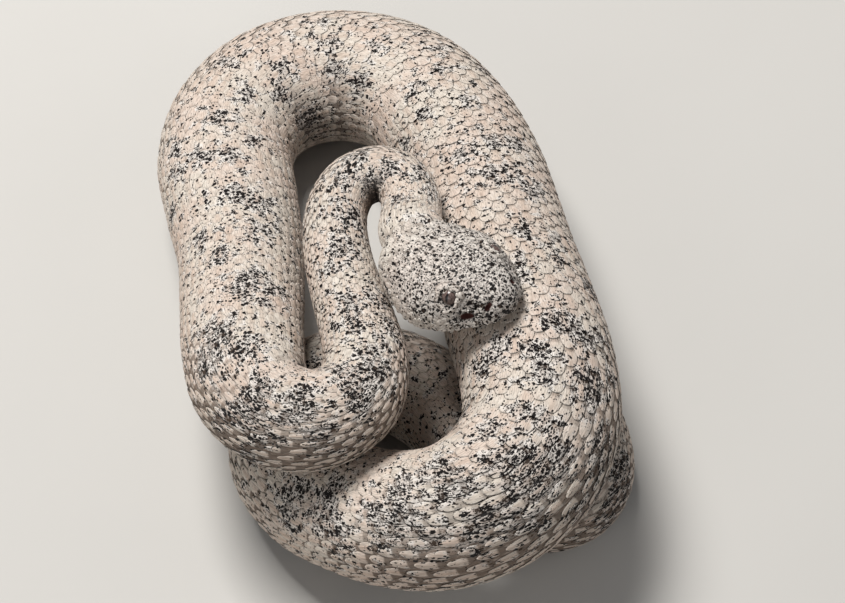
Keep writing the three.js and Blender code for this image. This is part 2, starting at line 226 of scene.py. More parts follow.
# distance forward, half-width at the lips, height of crown, depth of jaw, depth of the mouth line
HEAD_SECTIONS = np.array([
    (0, 10.6, 9.3, 9.5, 5.2), (4, 15.5, 8.8, 9.8, 5.6), (8, 17.5, 8.4, 10.5, 6.0),
    (13, 19.4, 8.2, 11.0, 6.4), (18, 20.0, 8.1, 11.0, 6.6), (22.4, 18.5, 8.0, 10.6, 6.4),
    (26.7, 16.5, 7.6, 9.9, 6.0), (30.2, 13.7, 6.8, 8.8, 5.4), (33.6, 10.8, 5.7, 7.5, 4.7),
    (36.3, 8.2, 4.4, 6.4, 4.0), (38.2, 5.6, 3.0, 5.4, 3.4), (39.3, 2.3, 1.2, 4.2, 3.0),
])
HEAD_BOXINESS = 0.8
CROWN_TAPER = 0.36
LIP_RIDGE = 0.5
LIP_RIDGE_MIDDLE = 1.0    # above the mouth line
LIP_RIDGE_WIDTH = 1.1


def unit(vectors):
    """The vectors at length one."""
    return vectors / np.maximum(np.linalg.norm(vectors, axis=-1, keepdims=True), 1e-9)


def turn_about(axis, angle):
    """Rotation matrix about x, y or z."""
    cos, sin = math.cos(angle), math.sin(angle)
    first, second = [(1, 2), (2, 0), (0, 1)]["xyz".index(axis)]
    matrix = np.eye(3)
    matrix[first, first] = matrix[second, second] = cos
    matrix[first, second] = -sin
    matrix[second, first] = sin
    return matrix


def ease(values, start, end):
    """Goes smoothly from 0 at the start to 1 at the end."""
    share = np.clip((values - start) / (end - start), 0, 1)
    return share * share * (3 - 2 * share)


HEAD_AXES = turn_about("z", HEAD_YAW) @ turn_about("y", -HEAD_PITCH) @ turn_about("x", HEAD_ROLL)


def nape(x):
    """The head's middle line at a distance forward, and how far it is turned there."""
    share = np.clip(1 - np.asarray(x, float) / NAPE_LENGTH, 0, None)
    behind = NAPE_LENGTH * NAPE_TURN**2 * share**4 / 8
    aside = NAPE_LENGTH * NAPE_TURN * share**2.5 / 2.5
    middle = np.stack([x + behind, aside, np.zeros_like(aside)], -1)
    return middle, -NAPE_TURN * share**1.5


def from_head(points):
    """Points of the head's own frame, in the route's frame."""
    return points @ HEAD_AXES.T + HEAD_AT


def smooth_route(points, steps=60):
    """A centripetal Catmull-Rom curve through the points."""
    points = np.array(points, float)
    ends = np.vstack([2 * points[0] - points[1], points, 2 * points[-1] - points[-2]])
    shares = np.arange(steps)[:, None] / steps
    curve = []
    for before, start, end, after in zip(ends, ends[1:], ends[2:], ends[3:]):
        gaps = [math.sqrt(np.linalg.norm(b - a)) for a, b in ((before, start), (start, end), (end, after))]
        first = (start - before) / gaps[0] - (end - before) / (gaps[0] + gaps[1]) + (end - start) / gaps[1]
        last = (end - start) / gaps[1] - (after - start) / (gaps[1] + gaps[2]) + (after - end) / gaps[2]
        first, last = first * gaps[1], last * gaps[1]
        square = -3 * start + 3 * end - 2 * first - last
        cube = 2 * start - 2 * end + first + last
        curve.append(start + first * shares + square * shares**2 + cube * shares**3)
    return np.vstack([*curve, points[-1:]])


RING_STEP = 1.0           # between the computed sections of the body
RING_SIDES = 192
NECK_EASE = 9             # over this length the body turns from the head's direction to the route's
neck_joint = from_head(nape(0.0)[0])
curve = smooth_route([neck_joint, *ROUTE])
curve_distance = np.concatenate([[0], np.cumsum(np.linalg.norm(np.diff(curve, axis=0), axis=1))])
BODY_LENGTH = curve_distance[-1]
ring_at = np.linspace(0, BODY_LENGTH, int(BODY_LENGTH / RING_STEP) + 1)
ring_angles = np.arange(RING_SIDES) / RING_SIDES * 2 * math.pi


def along_curve(distances):
    """Places on the route at distances from the neck joint."""
    return np.stack([np.interp(distances, curve_distance, curve[:, k]) for k in range(3)], -1)


def half_width(distances):
    """The body's half-width, from the girth table with its corners rounded off."""
    offsets = np.arange(-2, 3) * GIRTH_SMOOTHING / 2
    return np.mean([np.interp(distances + offset, *GIRTH.T) for offset in offsets], axis=0)


def section_frames(distances):
    """Centres, tailward, left and up directions of the body's sections."""
    distances = np.asarray(distances, float)
    centres = along_curve(distances)
    along = unit(along_curve(distances + RING_STEP / 2) - along_curve(distances - RING_STEP / 2))
    side = unit(np.cross(along, UP))
    at_head = HEAD_AXES @ turn_about("z", float(nape(0.0)[1]))
    share = ease(distances, 0, NECK_EASE)[:, None]
    along = unit(along * share - at_head[:, 0] * (1 - share))
    side = side * share + at_head[:, 1] * (1 - share)
    side = unit(side - along * np.sum(side * along, -1, keepdims=True))
    return centres, along, side, np.cross(side, along)


# ---------------------------------------------------------------- flesh, pressed where coils lie together
# Soft flesh flattens on the ground, folds on the inner side of a tight bend, and gives way where
# a coil rests on another. The share of each spoke that is left is worked out on a coarse grid.

FOLD_LIMIT = 0.8
CONTACT_GAP = 0.5
NEIGHBOUR_REACH = 3
NECK_FREE = 60
PRESS_STEP = 2.5
PRESS_SIDES = 72
STATION_STEP = 4.0
BEND_SPAN = 5                                    # to either side, for measuring how the body bends
BLUNT_TIP = 2                                    # the stack of ovals ends this far before the snout
LEAST_SHARE = 0.2
HALVINGS = 11
ROUND = np.array([1, 1, 1 / SECTION_HEIGHT])     # makes an oval body section a circle

station_at = np.arange(0, BODY_LENGTH, STATION_STEP)
station_centre = along_curve(station_at) * ROUND
station_radius = half_width(station_at)


def clear_of_coils(points, distances, reach):
    """How far outside the nearest other stretch of the body each point is."""
    points = points * ROUND
    least = np.full(len(points), 1e9)
    for i in range(1, len(station_at)):
        start, end = station_centre[i - 1], station_centre[i]
        apart = (station_at[i] <= distances - reach) | (station_at[i - 1] >= distances + reach)
        span = end - start
        share = np.clip((points - start) @ span / (span @ span), 0, 1)
        radius = station_radius[i - 1] + (station_radius[i] - station_radius[i - 1]) * share
        gap = np.linalg.norm(points - start - share[:, None] * span, axis=1) - radius
        least = np.where(apart, np.minimum(least, gap), least)
    return least


def clear_of_head(points):
    """How far outside the head each point is, taking the head as a stack of squarish ovals."""
    local = (points - HEAD_AT) @ HEAD_AXES
    x = np.clip(local[:, 0], 0, HEAD_LENGTH - BLUNT_TIP)
    half, crown, depth = [np.interp(x, HEAD_SECTIONS[:, 0], HEAD_SECTIONS[:, k]) for k in (1, 2, 3)]
    half = half + LIP_RIDGE
    tall = np.where(local[:, 2] > 0, crown, depth)
    power = 2 / HEAD_BOXINESS
    ratio = (np.abs(local[:, 1] / half) ** power + np.abs(local[:, 2] / tall) ** power) ** (1 / power)
    return np.hypot(np.maximum(ratio - 1, 0) * tall, local[:, 0] - x) + np.minimum(ratio - 1, 0) * tall


def pressed_shares(distances, angles):
    """The share of each spoke that is left, for every distance and angle."""
    centres, _, side, normal = section_frames(distances)
    radius = half_width(distances)
    across, high = np.cos(angles)[None, :, None], np.sin(angles)[None, :, None]
    spokes = (side[:, None] * across + normal[:, None] * high * SECTION_HEIGHT) * radius[:, None, None]
    before, after = section_frames(distances - BEND_SPAN)[1], section_frames(distances + BEND_SPAN)[1]
    bends = (after - before) / (2 * BEND_SPAN)
    inward = np.einsum("ik,ijk->ij", bends, spokes)
    share = np.minimum(1, FOLD_LIMIT / np.maximum(inward, 1e-6))
    below = centres[:, None, 2] + spokes[..., 2] < 0
    floor_share = -centres[:, None, 2] / np.where(below, spokes[..., 2], -1)
    share = np.where(below, np.minimum(share, floor_share), share).ravel()

    origin = np.repeat(centres, len(angles), axis=0)
    spoke = spokes.reshape(-1, 3)
    place = np.repeat(distances, len(angles))
    wide = np.repeat(radius, len(angles))

    def clearance(trial, pick):
        points = origin[pick] + spoke[pick] * trial[:, None]
        coils = clear_of_coils(points, place[pick], NEIGHBOUR_REACH * wide[pick]) + (1 - trial) * wide[pick]
        head = np.where(place[pick] > NECK_FREE, clear_of_head(points), coils)
        return np.minimum(coils, head) - CONTACT_GAP

    everything = np.arange(len(share))
    tight = everything[clearance(share, everything) < 0]
    low, high = np.full(len(tight), LEAST_SHARE), share[tight]
    for _ in range(HALVINGS):
        middle = (low + high) / 2
        clear = clearance(middle, tight) >= 0
        low = np.where(clear, middle, low)
        high = np.where(clear, high, middle)
    share[tight] = low
    return share.reshape(len(distances), len(angles))


def blurred(grid, passes):
    """Softens a grid a little along the body and round it."""
    for _ in range(passes):
        grid = (np.roll(grid, 1, 1) + 2 * grid + np.roll(grid, -1, 1)) / 4
        padded = np.vstack([grid[:1], grid, grid[-1:]])
        grid = (padded[:-2] + 2 * padded[1:-1] + padded[2:]) / 4
    return grid


press_at = np.linspace(0, BODY_LENGTH, int(BODY_LENGTH / PRESS_STEP) + 1)
press_angles = np.arange(PRESS_SIDES) / PRESS_SIDES * 2 * math.pi
press_grid = blurred(pressed_shares(press_at, press_angles), 2)


def read_grid(grid, row, angles):
    """Reads a grid of the body at any places between its rings and at any angles."""
    sides = grid.shape[1]
    row = np.clip(row, 0, len(grid) - 1.001)
    column = np.mod(angles, 2 * math.pi) / (2 * math.pi) * sides
    i, j = row.astype(int), column.astype(int) % sides
    a, b = (row - i)[..., None], (column - np.floor(column))[..., None]
    k = (j + 1) % sides
    near_side = grid[i, j] * (1 - b) + grid[i, k] * b
    far_side = grid[i + 1, j] * (1 - b) + grid[i + 1, k] * b
    return near_side * (1 - a) + far_side * a


# ---------------------------------------------------------------- the skin under the scales
# One hide covers the animal from snout to rattle, a little below the outer surface of the scales.
# On the head it is drawn over brow ridges, sockets, heat pits and nostrils, and creased at the mouth.

COAT_DEPTH = 0.45
HEAD_STEP = 0.3                # between the computed sections of the head
NAPE_EASE = 9                  # over this length the oval neck becomes the squarish head
SNOUT_SWELL = 0.5              # how far the front of the snout bulges past its last section
SNOUT_RINGS = 7
SNOUT_MIDDLE = -1.5
SIDE_CROWDING = 0.24           # draws the sections' points towards the sides of the face
CROWDING_EASE = 12             # from nothing at the neck joint, over this length
SKIN_EVERY = 3                 # the skin takes every third section of the body
SKIN_LOWEST = 0.05
POLE_GAP = 0.04                # keeps the first ring of a rounded form a little off its pole
SIDE_OF_FACE = (1.5, 4.0)      # the features fade in between these distances from the middle line
# features of the face: places forward and up, half-lengths, and how far the hide rises or sinks
EYE = {"x": 24.7, "z": 4.0, "long": 2.1, "tall": 2.0, "radius": 2.5, "inset": 2.25, "height": -0.8}
LID = {"radius": 3.0, "width": 0.7, "height": 0.25}
BROW = {"x": 24.6, "z": 6.1, "long": 4.0, "tall": 1.25, "height": 1.4}
LORE = {"x": 31.8, "z": 2.2, "long": 2.6, "tall": 1.4, "height": -0.6}
TEMPLE = {"x": 12.0, "z": -1.5, "long": 6.5, "tall": 3.5, "height": 0.45}
PIT = {"x": 31.0, "z": -0.6, "long": 1.6, "tall": 1.05, "height": -2.6}
NOSTRIL = {"x": 35.5, "z": 2.2, "long": 0.7, "tall": 1.25, "height": -1.8}
CANTHUS = {"start": 27.4, "end": 36.8, "z": 5.7, "fall": 0.27, "width": 0.8, "height": 0.45}
MOUTH = {"start": 5.0, "width": 0.3, "depth": 0.9, "jaw_inset": 0.55}


def smooth_table(table, steps=10):
    """Joins a table's rows by smooth curves instead of straight lines."""
    at, values = table[:, 0], table[:, 1:]
    slopes = np.gradient(values, at, axis=0)
    shares = (np.arange(steps) / steps)[:, None]
    rows = []
    for i in range(len(at) - 1):
        span = at[i + 1] - at[i]
        leave = slopes[i] * span
        arrive = slopes[i + 1] * span
        rise = values[i + 1] - values[i]
        curve_rows = values[i] + leave * shares + (3 * rise - 2 * leave - arrive) * shares**2
        curve_rows = curve_rows + (leave + arrive - 2 * rise) * shares**3
        rows.append(np.hstack([at[i] + span * shares, curve_rows]))
    return np.vstack([*rows, table[-1:]])


HEAD_CURVES = smooth_table(HEAD_SECTIONS)


def head_size(x):
    """Half-width, crown, jaw depth and mouth line depth of the head at a distance forward."""
    return [np.interp(x, HEAD_CURVES[:, 0], HEAD_CURVES[:, k]) for k in (1, 2, 3, 4)]


def lip_ridge(above_mouth):
    """How far the lips stand out at a height above the mouth line."""
    return LIP_RIDGE * np.exp(-(((above_mouth - LIP_RIDGE_MIDDLE) / LIP_RIDGE_WIDTH) ** 2))


def plain_head(x, angle, swell=1.0):
    """A point of the plain head, at a distance forward and an angle round it from its left."""
    half, crown, depth, lip = head_size(x)
    headness = ease(x, 0, NAPE_EASE)
    power = 1 + (HEAD_BOXINESS - 1) * headness
    across = np.sign(np.cos(angle)) * np.abs(np.cos(angle)) ** power
    high = np.sign(np.sin(angle)) * np.abs(np.sin(angle)) ** power
    z = np.where(high > 0, crown, depth) * high
    rise = np.clip((z + lip) / (crown + lip), 0, 1)
    y = across * (half * (1 - CROWN_TAPER * rise * headness) + lip_ridge(z + lip) * headness)
    return x, y * swell, SNOUT_MIDDLE + (z - SNOUT_MIDDLE) * swell


def near(x, z, feature):
    """How strongly a spot of the face lies in one of its features, 1 at the middle."""
    off = ((x - feature["x"]) / feature["long"]) ** 2 + ((z - feature["z"]) / feature["tall"]) ** 2
    return np.exp(-off)


def face_relief(x, y, z):
    """How far the features raise or sink the hide of the head, in millimetres."""
    lip = head_size(x)[3]
    side = ease(np.abs(y), *SIDE_OF_FACE)
    from_eye = np.hypot(x - EYE["x"], z - EYE["z"])
    raised = sum(part["height"] * near(x, z, part) for part in (BROW, LORE, TEMPLE, PIT, NOSTRIL))
    raised = raised + LID["height"] * np.exp(-(((from_eye - LID["radius"]) / LID["width"]) ** 2))
    raised = raised + EYE["height"] * near(x, z, EYE)
    ridge_z = CANTHUS["z"] - CANTHUS["fall"] * (x - CANTHUS["start"])
    begun = ease(x, CANTHUS["start"] - 2, CANTHUS["start"] + 1)
    ended = ease(x, CANTHUS["end"] - 1.5, CANTHUS["end"])
    ridge = np.exp(-(((z - ridge_z) / CANTHUS["width"]) ** 2))
    raised = raised + CANTHUS["height"] * ridge * (begun * (1 - ended))
    mouth = MOUTH["depth"] * np.exp(-(((z + lip) / MOUTH["width"]) ** 2))
    jaw = MOUTH["jaw_inset"] * ease(-z - lip, -0.1, 0.3)
    return raised * side - (mouth + jaw) * ease(x, MOUTH["start"] - 2, MOUTH["start"] + 2)


# Sections from the front of the snout back to the neck joint: a swell of 0 closes the front.
snout_swell = np.sin(np.linspace(POLE_GAP, 1, SNOUT_RINGS) * math.pi / 2)
snout_x = HEAD_LENGTH + SNOUT_SWELL * np.sqrt(1 - snout_swell**2)
head_x = np.concatenate([snout_x, np.arange(HEAD_LENGTH - HEAD_STEP / 2, -0.01, -HEAD_STEP)])
head_x[-1] = 0.0
head_swell = np.concatenate([snout_swell, np.ones(len(head_x) - SNOUT_RINGS)])
crowding = SIDE_CROWDING * ease(head_x, 0, CROWDING_EASE)[:, None]
head_angles = ring_angles - crowding * np.sin(2 * ring_angles)
form_x, form_y, form_z = plain_head(head_x[:, None] + 0 * head_angles, head_angles, head_swell[:, None])
form_x = np.minimum(form_x, np.maximum(head_x, 0)[:, None])
middle, turn = nape(head_x)
turn = turn[:, None]
plain_grid = np.stack([-np.sin(turn) * form_y, np.cos(turn) * form_y, form_z], -1)
plain_grid = plain_grid + middle[:, None]


def grid_normals(grid):
    """Outward normals of a tube of rings that runs tailward."""
    along_rings = np.gradient(grid, axis=0)
    round_rings = (np.roll(grid, -1, 1) - np.roll(grid, 1, 1)) / 2
    return unit(np.cross(along_rings, round_rings)), along_rings, round_rings


relief = face_relief(form_x, form_y, form_z) * ease(head_swell, 0.3, 1.0)[:, None]
head_inset = COAT_DEPTH * ease(head_x, -0.01, 0.01)[:, None]
head_local = plain_grid + grid_normals(plain_grid)[0] * (relief - head_inset)[..., None]
head_grid = from_head(head_local)
head_normal, head_tailward, _ = grid_normals(head_grid)

centres, along, side, normal = section_frames(ring_at)
ring_radius = half_width(ring_at)[:, None, None] - COAT_DEPTH
cos_sides, sin_sides = np.cos(ring_angles)[None, :, None], np.sin(ring_angles)[None, :, None]
spokes = (side[:, None] * cos_sides + normal[:, None] * sin_sides * SECTION_HEIGHT) * ring_radius
press_row = ring_at / BODY_LENGTH * (len(press_at) - 1)
all_rows, all_angles = np.meshgrid(press_row, ring_angles, indexing="ij")
body_grid = centres[:, None] + spokes * read_grid(press_grid[..., None], all_rows, all_angles)
body_grid[..., 2] = np.maximum(body_grid[..., 2], SKIN_LOWEST)

skin_rings = np.vstack([head_grid[:-1], body_grid[::SKIN_EVERY]])
skin_distance = np.concatenate([-head_x[:-1], ring_at[::SKIN_EVERY]])


def tube_faces(rings, sides):
    """Quads between rings of points, with a closing face at both ends."""
    faces = []
    for r in range(rings - 1):
        for i in range(sides):
            j = (i + 1) % sides
            faces.append((r * sides + i, (r + 1) * sides + i, (r + 1) * sides + j, r * sides + j))
    last = (rings - 1) * sides
    faces.append(tuple(range(sides)))
    faces.append(tuple(last + i for i in range(sides))[::-1])
    return faces


def mesh_object(name, points_mm, faces):
    """A linked, smooth-shaded mesh object from points in route millimetres."""
    mesh = bpy.data.meshes.new(name)
    points = (np.asarray(points_mm).reshape(-1, 3) - PILE_CENTRE) * MM
    mesh.from_pydata(points.tolist(), [], faces)
    mesh.polygons.foreach_set("use_smooth", [True] * len(mesh.polygons))
    thing = bpy.data.objects.new(name, mesh)
    bpy.context.scene.collection.objects.link(thing)
    return thing


skin = mesh_object("skin", skin_rings, tube_faces(len(skin_rings), RING_SIDES))

# The skin's map is the hide slit along one line and laid flat in a few strips, side by side.
HIDE_STRIPS = 7
STRIP_MARGIN = 0.94


def add_bake_map(mesh, uv):
    """Stores the map that the finish is baked to."""
    layer = mesh.uv_layers.new(name="OFBake")
    layer.data.foreach_set("uv", np.ascontiguousarray(uv, np.float32).ravel())


def skin_map(mesh, distances, sides):
    """Map places for every face corner of the tube, strip by strip."""
    quads = (len(distances) - 1) * sides
    row = np.repeat(np.arange(len(distances) - 1), sides)
    column = np.tile(np.arange(sides), len(distances) - 1)
    share = (distances - distances[0]) / (distances[-1] - distances[0]) * HIDE_STRIPS * 0.9999
    strip = np.floor(share[row])
    u = np.stack([column, column, column + 1, column + 1], -1) / sides
    corners = np.stack([share[row], share[row + 1], share[row + 1], share[row]], -1)
    v = np.clip(corners - strip[:, None], 0, 1)
    places = np.stack([(strip[:, None] + 0.5 + (u - 0.5) * STRIP_MARGIN) / HIDE_STRIPS, v], -1)
    caps = np.full((len(mesh.loops) - 4 * quads, 2), 0.999)
    return np.vstack([places.reshape(-1, 2), caps])


add_bake_map(skin.data, skin_map(skin.data, skin_distance, RING_SIDES))

# ---------------------------------------------------------------- speckled hide
# The colour lies in the scales as it does in the hide under them: cream to pinkish buff, with
# cross-bands of grey-white blotches that are crowded with irregular black specks. The pattern
# is laid out on the hide as if slit along the belly and opened flat, in millimetres.

BAND_SPACING = 29.0
CREAM = (0.70, 0.635, 0.555, 1)
PINK_BUFF = (0.69, 0.57, 0.49, 1)
BONE = (0.76, 0.72, 0.66, 1)
PALE_HAZE = (0.82, 0.785, 0.745, 1)
DUSKY_HAZE = (0.22, 0.205, 0.195, 1)
SPECK_BLACK = (0.007, 0.005, 0.005, 1)
TAIL_ASH = (0.56, 0.53, 0.485, 1)
TAIL_RINGS_FROM = 806.0        # distance at which the tail's black and ash rings begin
TAIL_RING_SPACING = 9.5


def add_sockets(group, direction, kinds):
    """Gives a node group its named inputs or outputs."""
    for name, kind in kinds.items():
        group.interface.new_socket(name, in_out=direction, socket_type="NodeSocket" + kind)


def make_hide_pattern():
    """Node group: place on the hide in, colour and darkness of the specks out."""
    group = bpy.data.node_groups.new("speckled_hide", "ShaderNodeTree")
    add_sockets(group, "INPUT", {"Hide": "Vector", "Band": "Float", "Dusting": "Float", "Edge": "Float"})
    add_sockets(group, "OUTPUT", {"Colour": "Color", "Specks": "Float"})
    source = put(group, "NodeGroupInput").outputs
    hide, band, dusting, edge = source["Hide"], source["Band"], source["Dusting"], source["Edge"]

    def cloudy(scale, detail=2.0):
        """A noise value over the hide."""
        return noise(group, scale, detail, Vector=hide)[0]

    def times(value, share):
        return calc(group, "MULTIPLY", value, share)

    def greater(first, second):
        return calc(group, "MAXIMUM", first, second)

    def specks(cell, least, most, presence, jitter):
        """Irregular dots, one to a cell, of radius least to most, in a share of the cells."""
        wobble = noise(group, 1.6 / cell, 1.0, Vector=hide)[1]
        wobble = vector_calc(group, "SUBTRACT", wobble, (0.5, 0.5, 0.5))
        place = vector_calc(group, "ADD", hide, vector_calc(group, "SCALE", wobble, jitter))
        cells = put(group, "ShaderNodeTexVoronoi", {"Vector": place, "Scale": 1 / cell})
        chance = put(group, "ShaderNodeSeparateColor", {0: cells.outputs["Color"]}).outputs
        radius = fade(group, chance[1], 0.0, 1.0, least / cell, most / cell)
        radius = times(radius, fade(group, edge, 0.0, 1.0, 0.82, 1.35))
        inside = calc(group, "SUBTRACT", radius, cells.outputs["Distance"])
        dot = fade(group, inside, -0.03, 0.05)
        return times(dot, calc(group, "LESS_THAN", chance[0], presence))

    lumps = calc(group, "MULTIPLY_ADD", cloudy(0.3, 3.0), 3.0, -1.5)
    raised = calc(group, "ADD", band, lumps)
    blotch = fade(group, raised, 0.15, 0.4)
    core = fade(group, raised, 0.42, 0.75)

    thick_dusting = calc(group, "POWER", dusting, 3.0)
    in_blotch = calc(group, "MULTIPLY_ADD", blotch, 0.82, 0.14)
    presence = greater(in_blotch, dusting)
    large_presence = greater(times(in_blotch, 0.95), times(thick_dusting, 0.8))
    clot_presence = greater(times(core, 0.65), times(thick_dusting, 0.3))
    clots = specks(1.6, 0.46, 0.88, clot_presence, 1.2)
    large = specks(1.2, 0.34, 0.75, large_presence, 0.8)
    small = specks(0.78, 0.2, 0.45, presence, 0.6)
    dust = specks(0.5, 0.14, 0.28, times(presence, 0.5), 0.5)
    dark = greater(greater(greater(clots, large), small), dust)

    base = mixed(group, fade(group, cloudy(0.05, 3.0), 0.38, 0.62), CREAM, PINK_BUFF)
    base = mixed(group, fade(group, cloudy(0.5), 0.35, 0.7, 0.0, 0.35), base, BONE)
    base = mixed(group, times(greater(blotch, dusting), 0.8), base, PALE_HAZE)
    smudged = greater(core, times(dusting, 0.6))
    dusky = times(smudged, fade(group, cloudy(0.9), 0.42, 0.62, 0.0, 0.7))
    base = mixed(group, dusky, base, DUSKY_HAZE)
    colour = mixed(group, dark, base, SPECK_BLACK)

    distance = put(group, "ShaderNodeSeparateXYZ", {0: hide}).outputs[1]
    on_tail = fade(group, distance, TAIL_RINGS_FROM - 4, TAIL_RINGS_FROM + 2)
    ring_wave = calc(group, "SINE", times(distance, 2 * math.pi / TAIL_RING_SPACING))
    ragged = calc(group, "MULTIPLY_ADD", cloudy(0.6, 3.0), 2.4, calc(group, "SUBTRACT", ring_wave, 1.2))
    black_ring = fade(group, ragged, 0.2, 0.4)
    ringed = mixed(group, greater(black_ring, dark), TAIL_ASH, SPECK_BLACK)
    colour = mixed(group, on_tail, colour, ringed)
    put(group, "NodeGroupOutput", {"Colour": colour, "Specks": dark})
    return group


hide_pattern = make_hide_pattern()


def read(tree, name):
    """A number that the mesh holds for each of its points."""
    return put(tree, "ShaderNodeAttribute", attribute_name=name).outputs["Fac"]


def patterned(tree, edge=0.5):
    """The hide pattern at the piece's own place on the hide, and that place."""
    hide = put(tree, "ShaderNodeAttribute", attribute_name="hide").outputs["Vector"]
    inputs = {"Hide": hide, "Band": read(tree, "band"), "Dusting": read(tree, "dusting"), "Edge": edge}
    return put(tree, "ShaderNodeGroup", inputs, node_tree=hide_pattern).outputs, hide


BACK_ANGLE = math.pi / 2
MEAN_RADIUS = (1 + SECTION_HEIGHT) / 2     # of an oval section, against its half-width


def off_back(angles):
    """Angles round the body as angles off the middle of the back, from -pi to pi."""
    return np.mod(angles - BACK_ANGLE + math.pi, 2 * math.pi) - math.pi


def hide_place(distances, angles):
    """Where a spot of the body lies on the flat hide: millimetres round and along."""
    radius = np.interp(distances, ring_at, half_width(ring_at)) * MEAN_RADIUS
    return np.stack([off_back(angles) * radius, distances + 0 * angles, 0 * angles], -1)


def head_hide_place(local):
    """The same for a spot of the head, given in the head's own frame."""
    return np.stack([-local[..., 1], -local[..., 0], local[..., 2]], -1)


# how thickly specks dust the crown, at distances forward
CROWN_DUSTING = ((0, 0.2), (8, 0.65), (19, 0.8), (28, 0.95), (35, 1.0))
CHEEK_HEIGHTS = (3.0, 7.5)    # above the mouth, between which the creamier cheek ends
CHEEK_FORWARD = (26, 31)      # distances forward between which it ends
CHEEK_CREAM = 0.75
CHIN_HEIGHTS = (-2.5, 0.5)    # above the mouth, between which the clean throat ends


def head_dusting(local):
    """How thickly a spot of the head is dusted with specks: most on the snout, little on the lips."""
    x, z = local[..., 0], local[..., 2]
    above_mouth = z + head_size(x)[3]
    crown = np.interp(x, *np.array(CROWN_DUSTING).T)
    cheek = (1 - ease(above_mouth, *CHEEK_HEIGHTS)) * (1 - ease(x, *CHEEK_FORWARD))
    return crown * (1 - CHEEK_CREAM * cheek) * ease(above_mouth, *CHIN_HEIGHTS)


def keep_attribute(mesh, name, values, kind="FLOAT_VECTOR", domain="POINT"):
    """Stores one value for each vertex, or for each face."""
    attribute = mesh.attributes.new(name, kind, domain)
    field = "vector" if kind == "FLOAT_VECTOR" else "value"
    attribute.data.foreach_set(field, np.ascontiguousarray(values, np.float32).ravel())


def keep_numbers(mesh, **numbers):
    """Stores one number for each vertex under each name."""
    for name, values in numbers.items():
        keep_attribute(mesh, name, values, "FLOAT")


CROWDED_BELOW = 0.6         # a step along the hide this much shortened is where crowding begins
CROWDED_RANGE = 0.4         # and shortened by this much more, where it is full
FLANK_ANGLES = (0.6, 1.4)   # off the back, between which the flank begins
FLANK_BEGINS = (8, 30)      # from the neck joint, between which flank and back come to differ
NAPE_ENDS = (1.5, 4)        # from the neck joint, between which the head's own look ends


def crowding_at(distances, angles):
    """How much the hide is crowded along the body at a spot, from 0 to 1."""
    step_length = on_grid(grid_metric, distances, angles)[:, 0]
    return np.clip((CROWDED_BELOW - step_length) / CROWDED_RANGE, 0, 1)


def flank_at(distances, angles):
    """How far down the flank a spot lies, from 0 on the back to 1, and below 0 behind the head."""
    down = ease(np.abs(off_back(angles)), *FLANK_ANGLES) * ease(distances, *FLANK_BEGINS)
    return down - (1 - ease(distances, *NAPE_ENDS))


# Where the blotches lie on the side that the camera sees, as across, down and size in pixels of a
# picture 845 wide and 603 high. Out of its sight they follow each other in even cross-bands.
PICTURE = (845, 603)
BLOTCHES = [
    # back arc
    (322, 22, 6), (328, 43, 11), (335, 68, 10), (357, 83, 13), (375, 45, 9), (437, 47, 10), (440, 68, 8),
    (417, 87, 9), (421, 115, 9), (468, 98, 8), (485, 68, 9), (283, 65, 11), (283, 95, 9), (245, 92, 10),
    (228, 60, 10), (312, 117, 12), (218, 118, 14), (200, 155, 12), (230, 152, 12), (255, 140, 9),
    (173, 150, 9), (175, 170, 10),
    # left limb
    (238, 193, 15), (262, 203, 14), (200, 237, 11), (218, 255, 11), (258, 228, 14), (170, 215, 10),
    (240, 283, 14), (258, 275, 12), (279, 291, 10), (262, 301, 9), (216, 330, 18), (247, 345, 16),
    (205, 362, 14), (157, 365, 7), (178, 400, 9), (185, 420, 9),
    # left loop
    (260, 388, 14), (252, 409, 13), (222, 418, 12), (305, 394, 13), (290, 416, 11), (252, 460, 13),
    (265, 440, 11), (328, 436, 13), (347, 300, 10), (350, 322, 14), (345, 374, 16), (376, 355, 14),
    (378, 378, 13), (360, 400, 12), (393, 330, 12), (380, 298, 11),
    # forebody and neck
    (326, 267, 9), (348, 247, 13), (352, 215, 13), (328, 200, 7), (345, 172, 13), (362, 152, 8),
    (388, 167, 10), (420, 170, 11), (415, 217, 9), (402, 146, 8), (372, 185, 8), (432, 193, 8),
    (399, 197, 8),
    # right limb
    (462, 152, 12), (493, 138, 11), (518, 142, 12), (515, 172, 12), (490, 173, 13), (537, 190, 12),
    (522, 229, 10), (555, 236, 10), (560, 257, 9), (513, 262, 10), (520, 277, 8), (592, 288, 12),
    # right bend
    (553, 315, 9), (567, 323, 10), (585, 336, 11), (606, 344, 12), (538, 350, 12), (547, 374, 13),
    (592, 380, 13), (593, 402, 10), (612, 376, 10), (500, 346, 13), (480, 366, 12), (523, 410, 11),
    (541, 418, 9), (487, 428, 11), (461, 413, 8), (495, 462, 13), (520, 458, 14), (556, 446, 12),
    (560, 468, 13), (540, 486, 15), (515, 482, 13), (597, 468, 13), (603, 438, 12),
    # front limb
    (437, 466, 13), (442, 490, 13), (463, 485, 10), (403, 486, 13), (335, 487, 13), (303, 484, 11),
    (283, 490, 10), (287, 515, 12), (322, 520, 16), (338, 538, 14), (397, 514, 13), (386, 540, 11),
    (425, 530, 14), (375, 512, 9), (500, 522, 13), (480, 520, 11), (532, 530, 13), (580, 512, 12),
    (602, 492, 12), (470, 546, 11),
    # the lowest coil, at the lower right
    (620, 460, 14), (626, 492, 14), (608, 518, 13),
]
PICTURE_LENS = FOCAL_LENGTH / SENSOR_WIDTH * PICTURE[0]      # in pixels
SEEN_CELL = 3               # the side, in pixels, of the cells that tell near coils from far ones
SEEN_DEPTH = 8              # how far behind the nearest spot of its cell a seen spot may be
SEEN_SOFTENING = 8
